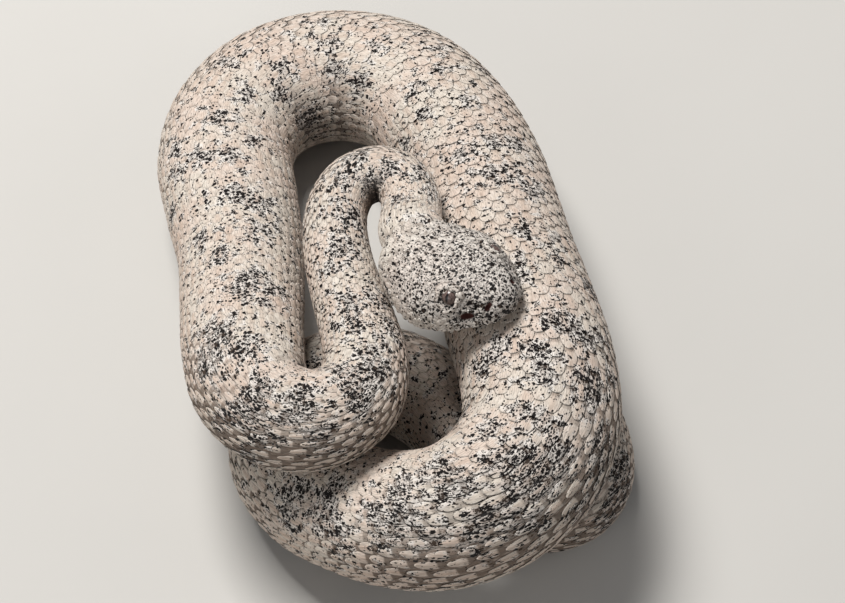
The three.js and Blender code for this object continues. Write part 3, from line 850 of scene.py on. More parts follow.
BLOTCH_SPREAD = 1.15        # of the blotch's listed size
BLOTCH_STRENGTH = 0.85
BLOTCH_LIMIT = 1.1          # where blotches lie over each other


def in_picture(points_mm):
    """Where points land in the camera's picture, and how far away they are."""
    view = -back
    offset = points_mm - PILE_CENTRE - np.array(camera.location) / MM
    deep = offset @ view
    scale = PICTURE_LENS / deep
    across = PICTURE[0] / 2 + offset[..., 0] * scale
    down = PICTURE[1] / 2 - offset @ np.cross((1, 0, 0), view) * scale
    return across, down, deep


def blotch_bands():
    """How strongly each spot of the body is blotched: about 1 in a blotch, near 0 between."""
    across, down, deep = in_picture(body_grid)
    columns = PICTURE[0] // SEEN_CELL + 1
    cell = (down // SEEN_CELL).astype(int) * columns + (across // SEEN_CELL).astype(int)
    nearest = np.full(cell.max() + 1, 1e9)
    np.minimum.at(nearest, cell.ravel(), deep.ravel())
    seen = blurred((deep < nearest[cell] + SEEN_DEPTH).astype(float), SEEN_SOFTENING)
    picked = np.zeros(deep.shape)
    for x, y, size in BLOTCHES:
        off = np.hypot(across - x, down - y)
        middle = body_grid.reshape(-1, 3)[np.argmin(np.where(off < SEEN_CELL, deep, 1e9 + off))]
        spread = BLOTCH_SPREAD * size * deep.mean() / PICTURE_LENS
        picked += BLOTCH_STRENGTH * np.exp(-np.sum((body_grid - middle) ** 2, -1) / spread**2)
    # cross-bands that are strongest on the back and low on the flanks
    rows = 0.7 + 0.3 * np.cos(3 * (ring_angles - BACK_ANGLE))
    banded = (0.5 + 0.5 * np.cos(ring_at * 2 * math.pi / BAND_SPACING))[:, None] ** 1.5 * rows
    return (np.minimum(picked, BLOTCH_LIMIT) * seen + banded * (1 - seen))[..., None]


# The finished body surface as a grid, with outward normals and how far a step on it goes.
ring_gap = ring_at[1] - ring_at[0]
grid_normal, grid_along, grid_round = grid_normals(body_grid)
grid_metric = np.stack([
    np.linalg.norm(grid_along, axis=-1) / ring_gap,
    np.linalg.norm(grid_round, axis=-1) / (2 * math.pi / RING_SIDES),
], -1)


def on_grid(grid, distances, angles):
    """Reads a grid of the finished body at any distances and angles."""
    return read_grid(grid, distances / ring_gap, angles)


band_grid = blotch_bands()
# The skin between the scales is darker: partly its own colour, partly painted shade in the gaps.
SKIN_SHADE = (0.20, 0.145, 0.11, 1)
# Near black: painted shade in creases, where the hide crowds on the inside of bends and along the mouth
# line.
CREASE_SHADE = (0.02, 0.015, 0.013, 1)
# Dark red-brown: painted shade in the hollows of the heat pits and nostrils.
OPENING_SHADE = (0.075, 0.018, 0.013, 1)
WRINKLE_STRETCH = (3.6, 0.5, 3.6)
skin_material, tree, surface = shader("skin_between_scales")
pattern, hide = patterned(tree, 0.25)
wrinkle = noise(tree, 1.0, 3.0, Vector=vector_calc(tree, "MULTIPLY", hide, WRINKLE_STRETCH))[0]
# How much painted shade lies in the gaps: patchy along the wrinkles, less on the head, more on the flanks.
shade_share = fade(tree, wrinkle, 0.35, 0.62, 0.55, 1.4)
shade_share = calc(tree, "MULTIPLY", shade_share, fade(tree, read(tree, "dusting"), 0.0, 0.3, 0.5, 0.4))
flank_share = fade(tree, read(tree, "flank"), 0.0, 1.0, 1.0, 2.2)
shade_share = calc(tree, "MULTIPLY", shade_share, flank_share, clamp=True)
shade = mixed(tree, shade_share, pattern["Colour"], SKIN_SHADE)
shade = mixed(tree, pattern["Specks"], shade, pattern["Colour"])
# Painted crease shade, by the crowd attribute.
shade = mixed(tree, read(tree, "crowd"), shade, CREASE_SHADE)
shade = mixed(tree, fade(tree, read(tree, "opening"), 0.25, 0.5), shade, OPENING_SHADE)
tree.links.new(shade, surface.inputs["Base Color"])
surface.inputs["Roughness"].default_value = 0.75


def give_relief(tree, surface, height, strength, depth):
    """Raises a surface by a pattern, to a depth in metres."""
    bump = put(tree, "ShaderNodeBump", {"Height": height, "Strength": strength, "Distance": depth})
    tree.links.new(bump.outputs[0], surface.inputs["Normal"])


give_relief(tree, surface, wrinkle, 0.7, 0.0004)
skin.data.materials.append(skin_material)

# Painted crease shade along the mouth line, where the lips close; it goes in the crowd attribute.
MOUTH_SHADE_WIDTH = 0.4
MOUTH_SHADE_FROM = (3, 7)
body_distance = np.repeat(ring_at[::SKIN_EVERY], RING_SIDES)
body_angle = np.tile(ring_angles, len(ring_at[::SKIN_EVERY]))
off_mouth = form_z + head_size(form_x)[3]
mouth_shade = np.exp(-((off_mouth / MOUTH_SHADE_WIDTH) ** 2)) * ease(form_x, *MOUTH_SHADE_FROM)
openings = np.maximum(near(form_x, form_z, PIT), near(form_x, form_z, NOSTRIL)) * (np.abs(form_y) > 3)
head_none, body_none = np.zeros(form_x.shape), np.zeros(len(body_distance))


def over_skin(head_values, body_values):
    """One value for each vertex of the skin: the head's first, and then the body's."""
    return np.concatenate([head_values[:-1].ravel(), body_values])


head_hide = head_hide_place(head_local[:-1]).reshape(-1, 3)
keep_attribute(skin.data, "hide", np.vstack([head_hide, hide_place(body_distance, body_angle)]))
keep_numbers(
    skin.data,
    dusting=over_skin(head_dusting(head_local), body_none),
    band=over_skin(head_none, on_grid(band_grid, body_distance, body_angle)[:, 0]),
    opening=over_skin(openings, body_none),
    crowd=over_skin(mouth_shade, crowding_at(body_distance, body_angle)),
    flank=over_skin(head_none, flank_at(body_distance, body_angle)),
)
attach(skin, "root")
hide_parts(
    "head", "jaw", "neck", "forebody", "left_loop", "left_limb", "back_arc", "right_limb",
    "right_bend", "front_limb", "under_hairpin", "under_limb", "under_bend", "hind_length", "tail",
)

# ---------------------------------------------------------------- scales of the back and flanks
# Twenty-seven rows of overlapping keeled scales, each a thin horny plate rooted at its front and
# free at its rounded tip. They stand apart where the skin is stretched round the outside of a
# bend, and crowd together on its inside.

BACK_ROWS = 27
BELLY_ARC = math.radians(95)
ROW_ANGLE = (2 * math.pi - BELLY_ARC) / BACK_ROWS
SCALE_WIDTH = 1.66        # against the spacing of the rows
FLANK_NARROWING = 0.18    # the lowest rows are this much narrower
NARROWING_ANGLES = (0.25, 1.1)    # off the back, between which rows become narrower
SCALE_LENGTH = 1.62       # against the spacing along a row
SCALE_HEIGHT = (0.24, 0.014)      # and this much more for each millimetre of the body's half-width
PITCH = (1.1, 0.175)              # the spacing along a row, in the same way
KEEL_WIDTH = 0.16
SCALE_COLUMNS = (-1, -0.8, -0.44, -0.13, 0.13, 0.44, 0.8, 1)
SCALE_ROWS = (0, 0.16, 0.34, 0.52, 0.69, 0.83, 0.93, 1)


def rounded_outline(v):
    """Half-width at a share of a scale's length: narrow root, widest past the middle."""
    root = 0.5 + 0.5 * math.sin(min(v / 0.56, 1) * math.pi / 2)
    tip = math.sqrt(max(1 - max((v - 0.5) / 0.51, 0) ** 2.1, 0))
    return root * max(tip, 0.16)


def make_scale_form(name, columns, rows, outline, slope, dome, keel):
    """A closed plate one unit wide and one long: domed and keeled above, flat below."""
    points, rims, reaches, middles = [], [], [], []
    for v in rows:
        for u in columns:
            # the dome is lower at both ends, and the keel fades in from the root and out at the tip
            arch = dome * (1 - u * u) * (1 - 0.6 * (2 * v - 1) ** 2)
            ridge = keel * math.exp(-((u / KEEL_WIDTH) ** 2)) * min(v * 4, 1) * min((1.02 - v) * 5, 1)
            points.append((u * outline(v) / 2, v, slope * v + arch + ridge))
            rims.append(1.0 if abs(u) == 1 or v in (0, 1) else 0.0)
            reaches.append(v)
            middles.append(1 - abs(u))
    wide, tall = len(columns), len(rows)
    faces = []
    for r in range(tall - 1):
        for c in range(wide - 1):
            a = r * wide + c
            faces.append((a, a + 1, a + 1 + wide, a + wide))
    upper = len(faces)
    last = wide * (tall - 1)
    faces.append((*range(wide - 1, -1, -1), wide, 2 * wide - 1))
    for r in range(1, tall - 2):
        faces.append((r * wide + wide - 1, r * wide, (r + 1) * wide, (r + 2) * wide - 1))
    faces.append((last - wide, *range(last, last + wide), last - 1))
    mesh = bpy.data.meshes.new(name)
    mesh.from_pydata(points, [], faces)
    mesh.polygons.foreach_set("use_smooth", [True] * len(faces))
    keep_numbers(mesh, rim=rims, reach=reaches, middle=middles)
    keep_attribute(mesh, "under", [0.0] * upper + [1.0] * (len(faces) - upper), "FLOAT", "FACE")
    form = bpy.data.objects.new(name, mesh)
    bpy.context.scene.collection.objects.link(form)
    return form


def make_laying_tree():
    """Geometry Nodes: lays one form at each point of a flat hide, sized by the point's own size."""
    tree = bpy.data.node_groups.new("lay_scales", "GeometryNodeTree")
    add_sockets(tree, "INPUT", {
        "Points": "Geometry", "Form": "Object", "Finish": "Material",
        "Size spread": "Float", "Turn spread": "Float", "Seed": "Int",
    })
    add_sockets(tree, "OUTPUT", {"Scales": "Geometry"})
    given = put(tree, "NodeGroupInput").outputs
    size = put(tree, "GeometryNodeInputNamedAttribute", {"Name": "size"}, data_type="FLOAT_VECTOR")
    least = calc(tree, "SUBTRACT", 1.0, given["Size spread"])
    most = calc(tree, "ADD", 1.0, given["Size spread"])
    varied = put(tree, "FunctionNodeRandomValue", {"Min": least, "Max": most, "Seed": given["Seed"]})
    scaled = vector_calc(tree, "SCALE", size.outputs[0], varied.outputs[1])
    turn_low = calc(tree, "MULTIPLY", given["Turn spread"], -1.0)
    other_seed = calc(tree, "ADD", given["Seed"], 1.0)
    turn_limits = {"Min": turn_low, "Max": given["Turn spread"], "Seed": other_seed}
    turn = put(tree, "FunctionNodeRandomValue", turn_limits)
    turned = put(tree, "ShaderNodeCombineXYZ", {2: turn.outputs[1]}).outputs[0]
    form = put(tree, "GeometryNodeObjectInfo", {"Object": given["Form"]}).outputs["Geometry"]
    laid = put(tree, "GeometryNodeInstanceOnPoints", {
        "Points": given["Points"], "Instance": form, "Rotation": turned, "Scale": scaled,
    })
    real = put(tree, "GeometryNodeRealizeInstances", {0: laid.outputs[0]}).outputs[0]
    finished = put(tree, "GeometryNodeSetMaterial", {"Geometry": real, "Material": given["Finish"]})
    put(tree, "NodeGroupOutput", {0: finished.outputs[0]})
    return tree


lay_scales = make_laying_tree()


def set_inputs(modifier, values):
    """Sets a Geometry Nodes modifier's inputs by their names."""
    for item in modifier.node_group.interface.items_tree:
        if item.name in values and item.in_out == "INPUT":
            modifier[item.identifier] = values[item.name]


LAYING_GAP = 30.0         # between scales that are laid out flat, before they go on the body
LAYING_ROW = 40
SCALE_LOWEST = 0.02


def read_attribute(data, name, width=1):
    """One attribute of a mesh as an array."""
    attribute = data.attributes[name]
    values = np.zeros(len(attribute.data) * width, np.float32)
    attribute.data.foreach_get("vector" if width == 3 else "value", values)
    return values.reshape(-1, width) if width > 1 else values


def laid_flat(name, form, finish, sizes, size_spread=0.05, turn_spread=0.05, seed=5):
    """One form of each size, laid out flat: the piece, each vertex's number and its place."""
    numbers = np.arange(len(sizes))
    spots = np.stack([numbers % LAYING_ROW, numbers // LAYING_ROW, 0 * numbers], -1) * LAYING_GAP
    points = bpy.data.meshes.new(name)
    points.from_pydata(spots.tolist(), [], [])
    keep_numbers(points, number=numbers)
    keep_attribute(points, "size", sizes)
    layer = bpy.data.objects.new(name + "_points", points)
    bpy.context.scene.collection.objects.link(layer)
    modifier = layer.modifiers.new("lay", "NODES")
    modifier.node_group = lay_scales
    set_inputs(modifier, {
        "Form": form, "Finish": finish, "Size spread": size_spread, "Turn spread": turn_spread, "Seed": seed,
    })
    evaluated = layer.evaluated_get(bpy.context.evaluated_depsgraph_get())
    mesh = bpy.data.meshes.new_from_object(evaluated)
    mesh.name = name
    layer.modifiers.remove(modifier)
    bpy.data.objects.remove(layer)
    piece = bpy.data.objects.new(name, mesh)
    bpy.context.scene.collection.objects.link(piece)
    number = np.rint(read_attribute(mesh, "number")).astype(int)
    flat = np.zeros(len(mesh.vertices) * 3, np.float32)
    mesh.vertices.foreach_get("co", flat)
    local = flat.reshape(-1, 3) - spots[number]
    for unused in ("number", "size"):
        mesh.attributes.remove(mesh.attributes[unused])
    return piece, number, local


def place_points(piece, points_mm):
    """Moves a piece's vertices to places in route millimetres, none under the floor."""
    points_mm[:, 2] = np.maximum(points_mm[:, 2], SCALE_LOWEST)
    piece.data.vertices.foreach_set("co", ((points_mm - PILE_CENTRE) * MM).astype(np.float32).ravel())
    piece.data.update()


PATCH_SHARE = 0.94            # of its cell that a scale's patch fills
PATCH_WIDTH = 1.1             # the most of its own width that a scale's patch takes in
UPPER_PART = (0.86, -0.06)    # length and middle of the part of a patch that the upper faces take
UNDER_PART = (0.04, 0.46)     # and of the part that the underside takes


def patch_map(piece, number, local, sizes, cell_middles, cell_sizes):
    """Gives each scale its own patch of the bake map, at its root's place on the flat hide."""
    mesh = piece.data
    corners = np.zeros(len(mesh.loops), np.int32)
    mesh.loops.foreach_get("vertex_index", corners)
    totals = np.zeros(len(mesh.polygons), np.int32)
    mesh.polygons.foreach_get("loop_total", totals)
    under = np.repeat(read_attribute(mesh, "under"), totals) > 0.5
    own = number[corners]
    across = np.clip(local[corners, 0] / (sizes[own, 0] * PATCH_WIDTH), -0.5, 0.5)
    length, middle = np.where(under[:, None], UNDER_PART, UPPER_PART).T
    tailward = length * (read_attribute(mesh, "reach")[corners] - 0.5) + middle
    in_cell = np.stack([across, tailward], -1) * np.broadcast_to(cell_sizes, cell_middles.shape)[own]
    add_bake_map(mesh, cell_middles[own] + in_cell * PATCH_SHARE)
    mesh.attributes.remove(mesh.attributes["under"])


LEAST_STRETCH = 0.42
LEAST_RADIUS = 2.0        # taken for the body where scales are bent round its thin end
STRETCH_SHARE = 0.55      # how much of the hide's stretch the scales take up, the rest opens gaps
STRETCH_NARROWING = 0.9   # how much narrower stretched scales are, as a power of the stretch
CROWDED_NARROWING = 0.5   # the share by which the most crowded ones are narrower, with creases between
CROWDED_HEIGHT = 0.1      # added to the crowding, this is the share of its height that a scale keeps
SCALE_SINK = 0.2


def wrap_on_body(piece, number, local, roots, sink):
    """Bends flat scales onto the body at their real size, roots sunk a little below the skin."""
    root = roots[number]
    metric = on_grid(grid_metric, root[:, 0], root[:, 1])
    stretch = np.maximum(metric[:, 0], LEAST_STRETCH)
    crowding = crowding_at(root[:, 0], root[:, 1])
    narrowing = np.maximum(stretch, 1) ** -STRETCH_NARROWING * (1 - CROWDED_NARROWING * crowding)
    stretch = np.where(stretch > 1, stretch ** (1 - STRETCH_SHARE), stretch)
    distances = root[:, 0] + local[:, 1] / stretch
    angles = root[:, 1] - local[:, 0] * narrowing / np.maximum(metric[:, 1], LEAST_RADIUS)
    past_end = np.maximum(distances - BODY_LENGTH, 0)
    distances = np.clip(distances, 0, BODY_LENGTH)
    base = on_grid(body_grid, distances, angles) + along[-1] * past_end[:, None]
    out = unit(on_grid(grid_normal, distances, angles))
    height = local[:, 2:] * np.clip(metric[:, :1] + CROWDED_HEIGHT, 0, 1)
    place_points(piece, base + out * (height - sink))
    spread = np.stack([-local[:, 0], local[:, 1], 0 * local[:, 0]], -1)
    keep_attribute(piece.data, "hide", hide_place(root[:, 0], root[:, 1]) + spread)
    band = on_grid(band_grid, distances, angles)[:, 0]
    flank = flank_at(root[:, 0], root[:, 1])
    keep_numbers(piece.data, band=band, dusting=np.zeros(len(local)), crowd=crowding, flank=flank)


def scale_pitch(distances):
    """Spacing of the scales along a row."""
    return PITCH[0] + PITCH[1] * half_width(np.atleast_1d(distances))


BARE_END = 3              # no ring of scales starts this close to the rattle
row_starts = [0.0]
while row_starts[-1] < BODY_LENGTH - BARE_END:
    row_starts.append(row_starts[-1] + float(scale_pitch(row_starts[-1])[0]))
row_starts = np.array(row_starts)

SCALE_TAN = (0.58, 0.44, 0.35, 1)
# Pale cream: the colour of paler scales, and also a painted highlight along the scales' rims.
SCALE_RIM = (0.80, 0.755, 0.69, 1)
# Dark brown: painted shade at the scales' roots, also used for their darker streaks.
ROOT_SHADE = (0.09, 0.06, 0.042, 1)
STREAK_STRETCH = (3.2, 0.45, 3.2)
scale_material, tree, surface = shader("speckled_scale")
rim, reach, crowd = read(tree, "rim"), read(tree, "reach"), read(tree, "crowd")
pattern, hide = patterned(tree, fade(tree, rim, 0.3, 1.0, 0.2, 1.0))
keel_line = fade(tree, read(tree, "middle"), 0.3, 0.95, 0.15, 0.6)
tint = read(tree, "tint")
paled = mixed(tree, fade(tree, tint, 0.0, -1.0, 0.0, 0.75), pattern["Colour"], SCALE_RIM)
flank = read(tree, "flank")
own_tan = calc(tree, "MULTIPLY_ADD", flank, 0.45, fade(tree, tint, 0.1, 1.0, 0.15, 1.0))
tanned = calc(tree, "MULTIPLY", keel_line, own_tan, clamp=True)
warmth = mixed(tree, tanned, paled, SCALE_TAN)
# A painted highlight along each scale's rim, strongest towards its free tip.
rim_highlighted = mixed(tree, calc(tree, "MULTIPLY", fade(tree, rim, 0.2, 0.9, 0.0, 0.6), reach), warmth, SCALE_RIM)
streaks = noise(tree, 1.0, 3.0, Vector=vector_calc(tree, "MULTIPLY", hide, STREAK_STRETCH))[0]
# Darker streaks along each scale, darkest where the same noise sinks the bump.
streaked = mixed(tree, fade(tree, streaks, 0.58, 0.36, 0.0, 0.36), rim_highlighted, ROOT_SHADE)
clean = mixed(tree, pattern["Specks"], streaked, pattern["Colour"])
# Painted shade on each scale's root, under the tips of the scales before it: deeper on the flanks, none just
# behind the head.
root_share = fade(tree, flank, -1.0, 1.0, 0.0, 0.78)
rooted = mixed(tree, calc(tree, "MULTIPLY", fade(tree, reach, 0.46, 0.38), root_share), clean, ROOT_SHADE)
# Painted shade in the creases of crowded scales: dark over all but a band just short of the tip.
before_tip = fade(tree, reach, 0.95, 0.7, 0.0, 0.7)
tip_edge = fade(tree, reach, 0.88, 0.97, 0.0, 0.7)
in_crease = calc(tree, "MULTIPLY", crowd, calc(tree, "MAXIMUM", before_tip, tip_edge))
creased = mixed(tree, in_crease, rooted, CREASE_SHADE)
tree.links.new(creased, surface.inputs["Base Color"])
surface.inputs["Roughness"].default_value = 0.66
surface.inputs["Specular IOR Level"].default_value = 0.18
give_relief(tree, surface, streaks, 0.8, 0.0004)

back_form = make_scale_form("back_form", SCALE_COLUMNS, SCALE_ROWS, rounded_outline, 1.0, 0.34, 0.3)
TINT_SEED = 11
random = np.random.default_rng(TINT_SEED)
# each piece's name, and the distances at which it begins and ends
COAT_STRETCHES = [
    ("scales_forebody", 0, 170), ("scales_left_limb", 170, 300), ("scales_back_arc", 300, 420),
    ("scales_right_bend", 420, 545), ("scales_front_limb", 545, 680), ("scales_hind_body", 680, 770),
    ("scales_tail", 770, 2000),
]
for name, start, end in COAT_STRETCHES:
    rings = row_starts[(row_starts >= start) & (row_starts < end)]
    ring = np.repeat(np.arange(len(rings)), BACK_ROWS)
    row = np.tile(np.arange(BACK_ROWS), len(rings))
    pitch = scale_pitch(rings[ring])
    radius = half_width(rings[ring])
    row_angle = (row - BACK_ROWS // 2) * ROW_ANGLE
    stagger = np.where(row % 2, 0.5, 0)
    roots = np.stack([rings[ring] + stagger * pitch, BACK_ANGLE + row_angle], -1)
    narrowing = 1 - FLANK_NARROWING * ease(np.abs(row_angle), *NARROWING_ANGLES)
    width = ROW_ANGLE * radius * MEAN_RADIUS * SCALE_WIDTH * narrowing
    sizes = np.stack([width, pitch * SCALE_LENGTH, SCALE_HEIGHT[0] + SCALE_HEIGHT[1] * radius], -1)
    piece, number, local = laid_flat(name, back_form, scale_material, sizes)
    keep_numbers(piece.data, tint=random.random(len(sizes))[number])
    wrap_on_body(piece, number, local, roots, SCALE_SINK)
    lines = len(rings) + 0.5
    cells = np.stack([(row + 0.5) / BACK_ROWS, (ring + 0.5 + stagger) / lines], -1)
    patch_map(piece, number, local, sizes, cells, (1 / BACK_ROWS, 1 / lines))
    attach(piece, "root")
bpy.data.objects.remove(back_form)

# ---------------------------------------------------------------- belly scutes
# One broad smooth plate to each ring of scales crosses the whole belly, its free edge tailward.

SCUTE_COLUMNS = tuple(np.linspace(-1, 1, 15).round(3))
SCUTE_ROWS = (0, 0.35, 0.7, 0.9, 1)
SCUTE_LENGTH = 1.5
SCUTE_HEIGHT = (0.16, 0.011)      # and this much more for each millimetre of the body's half-width
SCUTE_STRIPS = 6                  # columns of scutes in their map


def scute_outline(v):
    """Half-width at a share of a scute's length: nearly straight sides."""
    return 0.96 + 0.04 * math.sin(min(v, 1) * math.pi)


scute_form = make_scale_form("scute_form", SCUTE_COLUMNS, SCUTE_ROWS, scute_outline, 1.0, 0.1, 0.0)
pitch = scale_pitch(row_starts)
radius = half_width(row_starts)
width = (BELLY_ARC + ROW_ANGLE) * radius * MEAN_RADIUS
sizes = np.stack([width, pitch * SCUTE_LENGTH, SCUTE_HEIGHT[0] + SCUTE_HEIGHT[1] * radius], -1)
roots = np.stack([row_starts, np.full(len(row_starts), -BACK_ANGLE)], -1)
piece, number, local = laid_flat("belly_scutes", scute_form, scale_material, sizes, 0.0, 0.0)
keep_numbers(piece.data, tint=random.random(len(sizes))[number] * 0.5)
wrap_on_body(piece, number, local, roots, SCALE_SINK)
strip, rung = np.arange(len(sizes)) % SCUTE_STRIPS, np.arange(len(sizes)) // SCUTE_STRIPS
rungs = rung.max() + 1
cells = np.stack([(strip + 0.5) / SCUTE_STRIPS, (rung + 0.5) / rungs], -1)
patch_map(piece, number, local, sizes, cells, (1 / SCUTE_STRIPS, 1 / rungs))
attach(piece, "root")
bpy.data.objects.remove(scute_form)

# ---------------------------------------------------------------- scales and plates of the head
# Small irregular scales cover the crown, cheeks and throat, granular on the snout and larger
# towards the neck. Taller plates line both lips, and rows of pale ones ring and roof each eye.

CROWN_SPACING = ((0, 2.2), (8, 1.8), (19, 1.4), (28, 1.1), (40, 0.95))
THROAT_SPREAD = 1.35
GRANULE_SIZE = (1.6, 1.95)        # width and length against the spacing
GRANULE_HEIGHT = (0.12, 0.08)     # and this much more for each millimetre of spacing
LIP_PLATES = 16
LIP_PLATES_FROM = 37.3
LIP_PLATES_TO = 6.5
UPPER_LIP_HEIGHT = 3.1
LOWER_LIP_HEIGHT = 2.3
LIP_BAND = (0.3, 2.7)       # middle above the mouth and half-height of the band without small scales
EYE_CLEAR = 3.9             # the small scales stay this far from the middle of the eye
BROW_CLEAR = 6.9            # and this far above it
BROW_RISE = 1.4             # where above it begins, over the middle of the eye
PIT_CLEAR = 1.75            # they stay outside ovals this many times as large as pit and nostril
NOSTRIL_CLEAR = 2.2
HEAD_ROUNDNESS = 0.8        # girth of the head against a circle of its half-width
PATCH_REACH = 0.55          # of its own size that a head scale's patch in the map takes
RIM_HEIGHT = (0.55, 0.2)    # and this much more above the eye
# distance from the middle of the eye, first and last angle, count, width and length of the plates
RIM_ROWS = ((3.6, 0, 332, 13, 1.7, 1.5), (4.8, 28, 152, 6, 1.95, 1.9), (6.1, 42, 138, 5, 2.4, 2.1))

head_points = head_grid.reshape(-1, 3)
face_x = np.broadcast_to(head_x[:, None], form_x.shape).ravel()
face_y, face_z = form_y.ravel(), form_z.ravel()
face_lip = head_size(face_x)[3]
head_out = head_normal.reshape(-1, 3)
head_back = head_tailward.reshape(-1, 3)


def head_frames(spots, towards):
    """Axes for pieces at spots of the head: across, towards their tips, and out."""
    out = head_out[spots]
    tipward = unit(towards - out * np.sum(towards * out, -1, keepdims=True))
    return np.cross(tipward, out), tipward, out


# The head's own surface comes first, and the front of the neck after it.
NECK_RINGS = 12
surface_points = np.vstack([head_points, body_grid[1:NECK_RINGS].reshape(-1, 3)])
surface_out = np.vstack([head_out, grid_normal[1:NECK_RINGS].reshape(-1, 3)])
surface_tree = KDTree(len(surface_points))
for index, point in enumerate(surface_points):
    surface_tree.insert(Vector(point), index)
surface_tree.balance()


def lay_on_head(name, form, scales, vary, sink, behind=0.0, dusted=1.0, tint=0.35):
    """Makes one piece of scales that follow the head, from their spots, directions and sizes.

    They vary in size and in turn, and each begins a share of its length behind its spot."""
    spots, towards, sizes = (np.array(part) for part in scales)
    piece, number, local = laid_flat(name, form, scale_material, sizes, *vary)
    local[:, 1] -= sizes[number, 1] * behind
    across, tipward, out = head_frames(spots, towards)
    flat = head_points[spots][number] + across[number] * local[:, :1] + tipward[number] * local[:, 1:2]
    nearest = np.array([surface_tree.find(Vector(point))[1] for point in flat])
    normal = unit(surface_out[nearest] + out[number])
    lift = np.sum((surface_points[nearest] - flat) * surface_out[nearest], -1, keepdims=True)
    place = flat + surface_out[nearest] * lift + normal * (local[:, 2:] - sink)
    place_points(piece, place)
    own = (place - HEAD_AT) @ HEAD_AXES
    keep_attribute(piece.data, "hide", head_hide_place(own))
    none = np.zeros(len(own))
    tints = random.random(len(sizes))[number] * tint
    dusting = head_dusting(own) * dusted
    keep_numbers(piece.data, dusting=dusting, band=none, crowd=none, flank=none, tint=tints)
    girth = 2 * math.pi * head_size(face_x[spots])[0] * HEAD_ROUNDNESS
    turn_share = np.mod(np.arctan2(face_z[spots], face_y[spots]) / (2 * math.pi), 1)
    cells = np.stack([turn_share, face_x[spots] / (HEAD_LENGTH + 1)], -1)
    reach = np.minimum(sizes[:, 0], sizes[:, 1]) * PATCH_REACH
    patch_map(piece, number, local, sizes, cells, np.stack([reach / girth, reach / HEAD_LENGTH], -1))
    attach(piece, "root")


def even_spots(spacing, free):
    """Spots of the head that lie evenly, each its own spacing from the next, where it is free."""
    room = np.where(free, np.inf, 0.0)
    chosen = [int(np.argmax(free))]
    while True:
        gaps = np.linalg.norm(head_points - head_points[chosen[-1]], axis=1)
        room = np.minimum(room, gaps / spacing)
        widest = int(np.argmax(room))
        if room[widest] < 1:
            return np.array(chosen)
        chosen.append(widest)


def outside(feature, scale):
    """Whether spots of the face lie outside an oval round one of its features."""
    across = (face_x - feature["x"]) / feature["long"]
    return (np.hypot(across, (face_z - feature["z"]) / feature["tall"]) > scale) | (np.abs(face_y) < 3)


def nearest_spot(x, z, side):
    """The spot on one side of the face that is nearest to a place given from the side."""
    off = np.hypot(face_x - x, face_z - z) + np.where(face_y * side > 0.5, 0, 1e6)
    return int(np.argmin(off))


spacing = np.interp(face_x, *np.array(CROWN_SPACING).T)
spacing = spacing * np.where(face_z < -face_lip - 1, THROAT_SPREAD, 1.0)
on_lips = (np.abs(face_z + face_lip - LIP_BAND[0]) < LIP_BAND[1]) & (face_x > LIP_PLATES_TO - 1)
eye_spots = [nearest_spot(EYE["x"], EYE["z"], side) for side in (1, -1)]
from_eyes = np.min([np.linalg.norm(head_points - head_points[spot], axis=1) for spot in eye_spots], axis=0)
eye_room = np.where(face_z > EYE["z"] + BROW_RISE, BROW_CLEAR, EYE_CLEAR)
free = ~on_lips & (from_eyes > eye_room) & outside(PIT, PIT_CLEAR) & outside(NOSTRIL, NOSTRIL_CLEAR)
spots = even_spots(spacing, free & (face_x > HEAD_STEP))
step = spacing[spots]
height = GRANULE_HEIGHT[0] + GRANULE_HEIGHT[1] * step
sizes = np.stack([step * GRANULE_SIZE[0], step * GRANULE_SIZE[1], height], -1)
GRANULE_COLUMNS = (-1, -0.66, -0.22, 0.22, 0.66, 1)
GRANULE_ROWS = (0, 0.3, 0.55, 0.78, 0.93, 1)
granule_form = make_scale_form("granule", GRANULE_COLUMNS, GRANULE_ROWS, rounded_outline, 0.85, 0.4, 0.25)
lay_on_head(
    "head_scales", granule_form, (spots, head_back[spots], sizes), vary=(0.1, 0.2), sink=0.12, behind=0.5,
)
bpy.data.objects.remove(granule_form)


def plate_outline(v):
    """Nearly square, with its free corners rounded."""
    return 0.94 + 0.06 * min(v * 3, 1) - 0.34 * max((v - 0.72) / 0.28, 0) ** 2.2


PLATE_COLUMNS = (-1, -0.86, -0.5, 0, 0.5, 0.86, 1)
PLATE_ROWS = (0, 0.18, 0.42, 0.66, 0.84, 0.95, 1)
HEAD_DOWN = -HEAD_AXES[:, 2]
lip_x = np.linspace(LIP_PLATES_FROM, LIP_PLATES_TO, LIP_PLATES)
lip_step = lip_x[0] - lip_x[1]
lip_line = head_size(lip_x)[3]
upper_plate = (lip_step * 1.02, UPPER_LIP_HEIGHT * 0.96, 0.6)
lower_plate = (lip_step * 1.08, LOWER_LIP_HEIGHT * 0.86, 0.45)
spots, towards, sizes = [], [], []
for side in (1, -1):
    for x, line in zip(lip_x, lip_line):
        spots.append(nearest_spot(x, -line + UPPER_LIP_HEIGHT, side))
        spots.append(nearest_spot(x - lip_step / 2, -line - LOWER_LIP_HEIGHT, side))
        towards += [HEAD_DOWN, -HEAD_DOWN]
        sizes += [upper_plate, lower_plate]
plate_form = make_scale_form("lip_plate", PLATE_COLUMNS, PLATE_ROWS, plate_outline, 0.45, 0.6, 0.0)
lay_on_head("lip_plates", plate_form, (spots, towards, sizes), vary=(0.04, 0.04), sink=0.14, tint=-1.6)

# The plates of the snout: one at its tip, and one before and one behind each nostril.
TIP_PLATE_RISE = 2.6        # of its root, above the mouth line
TIP_PLATE = (3.4, 2.8, 0.5)
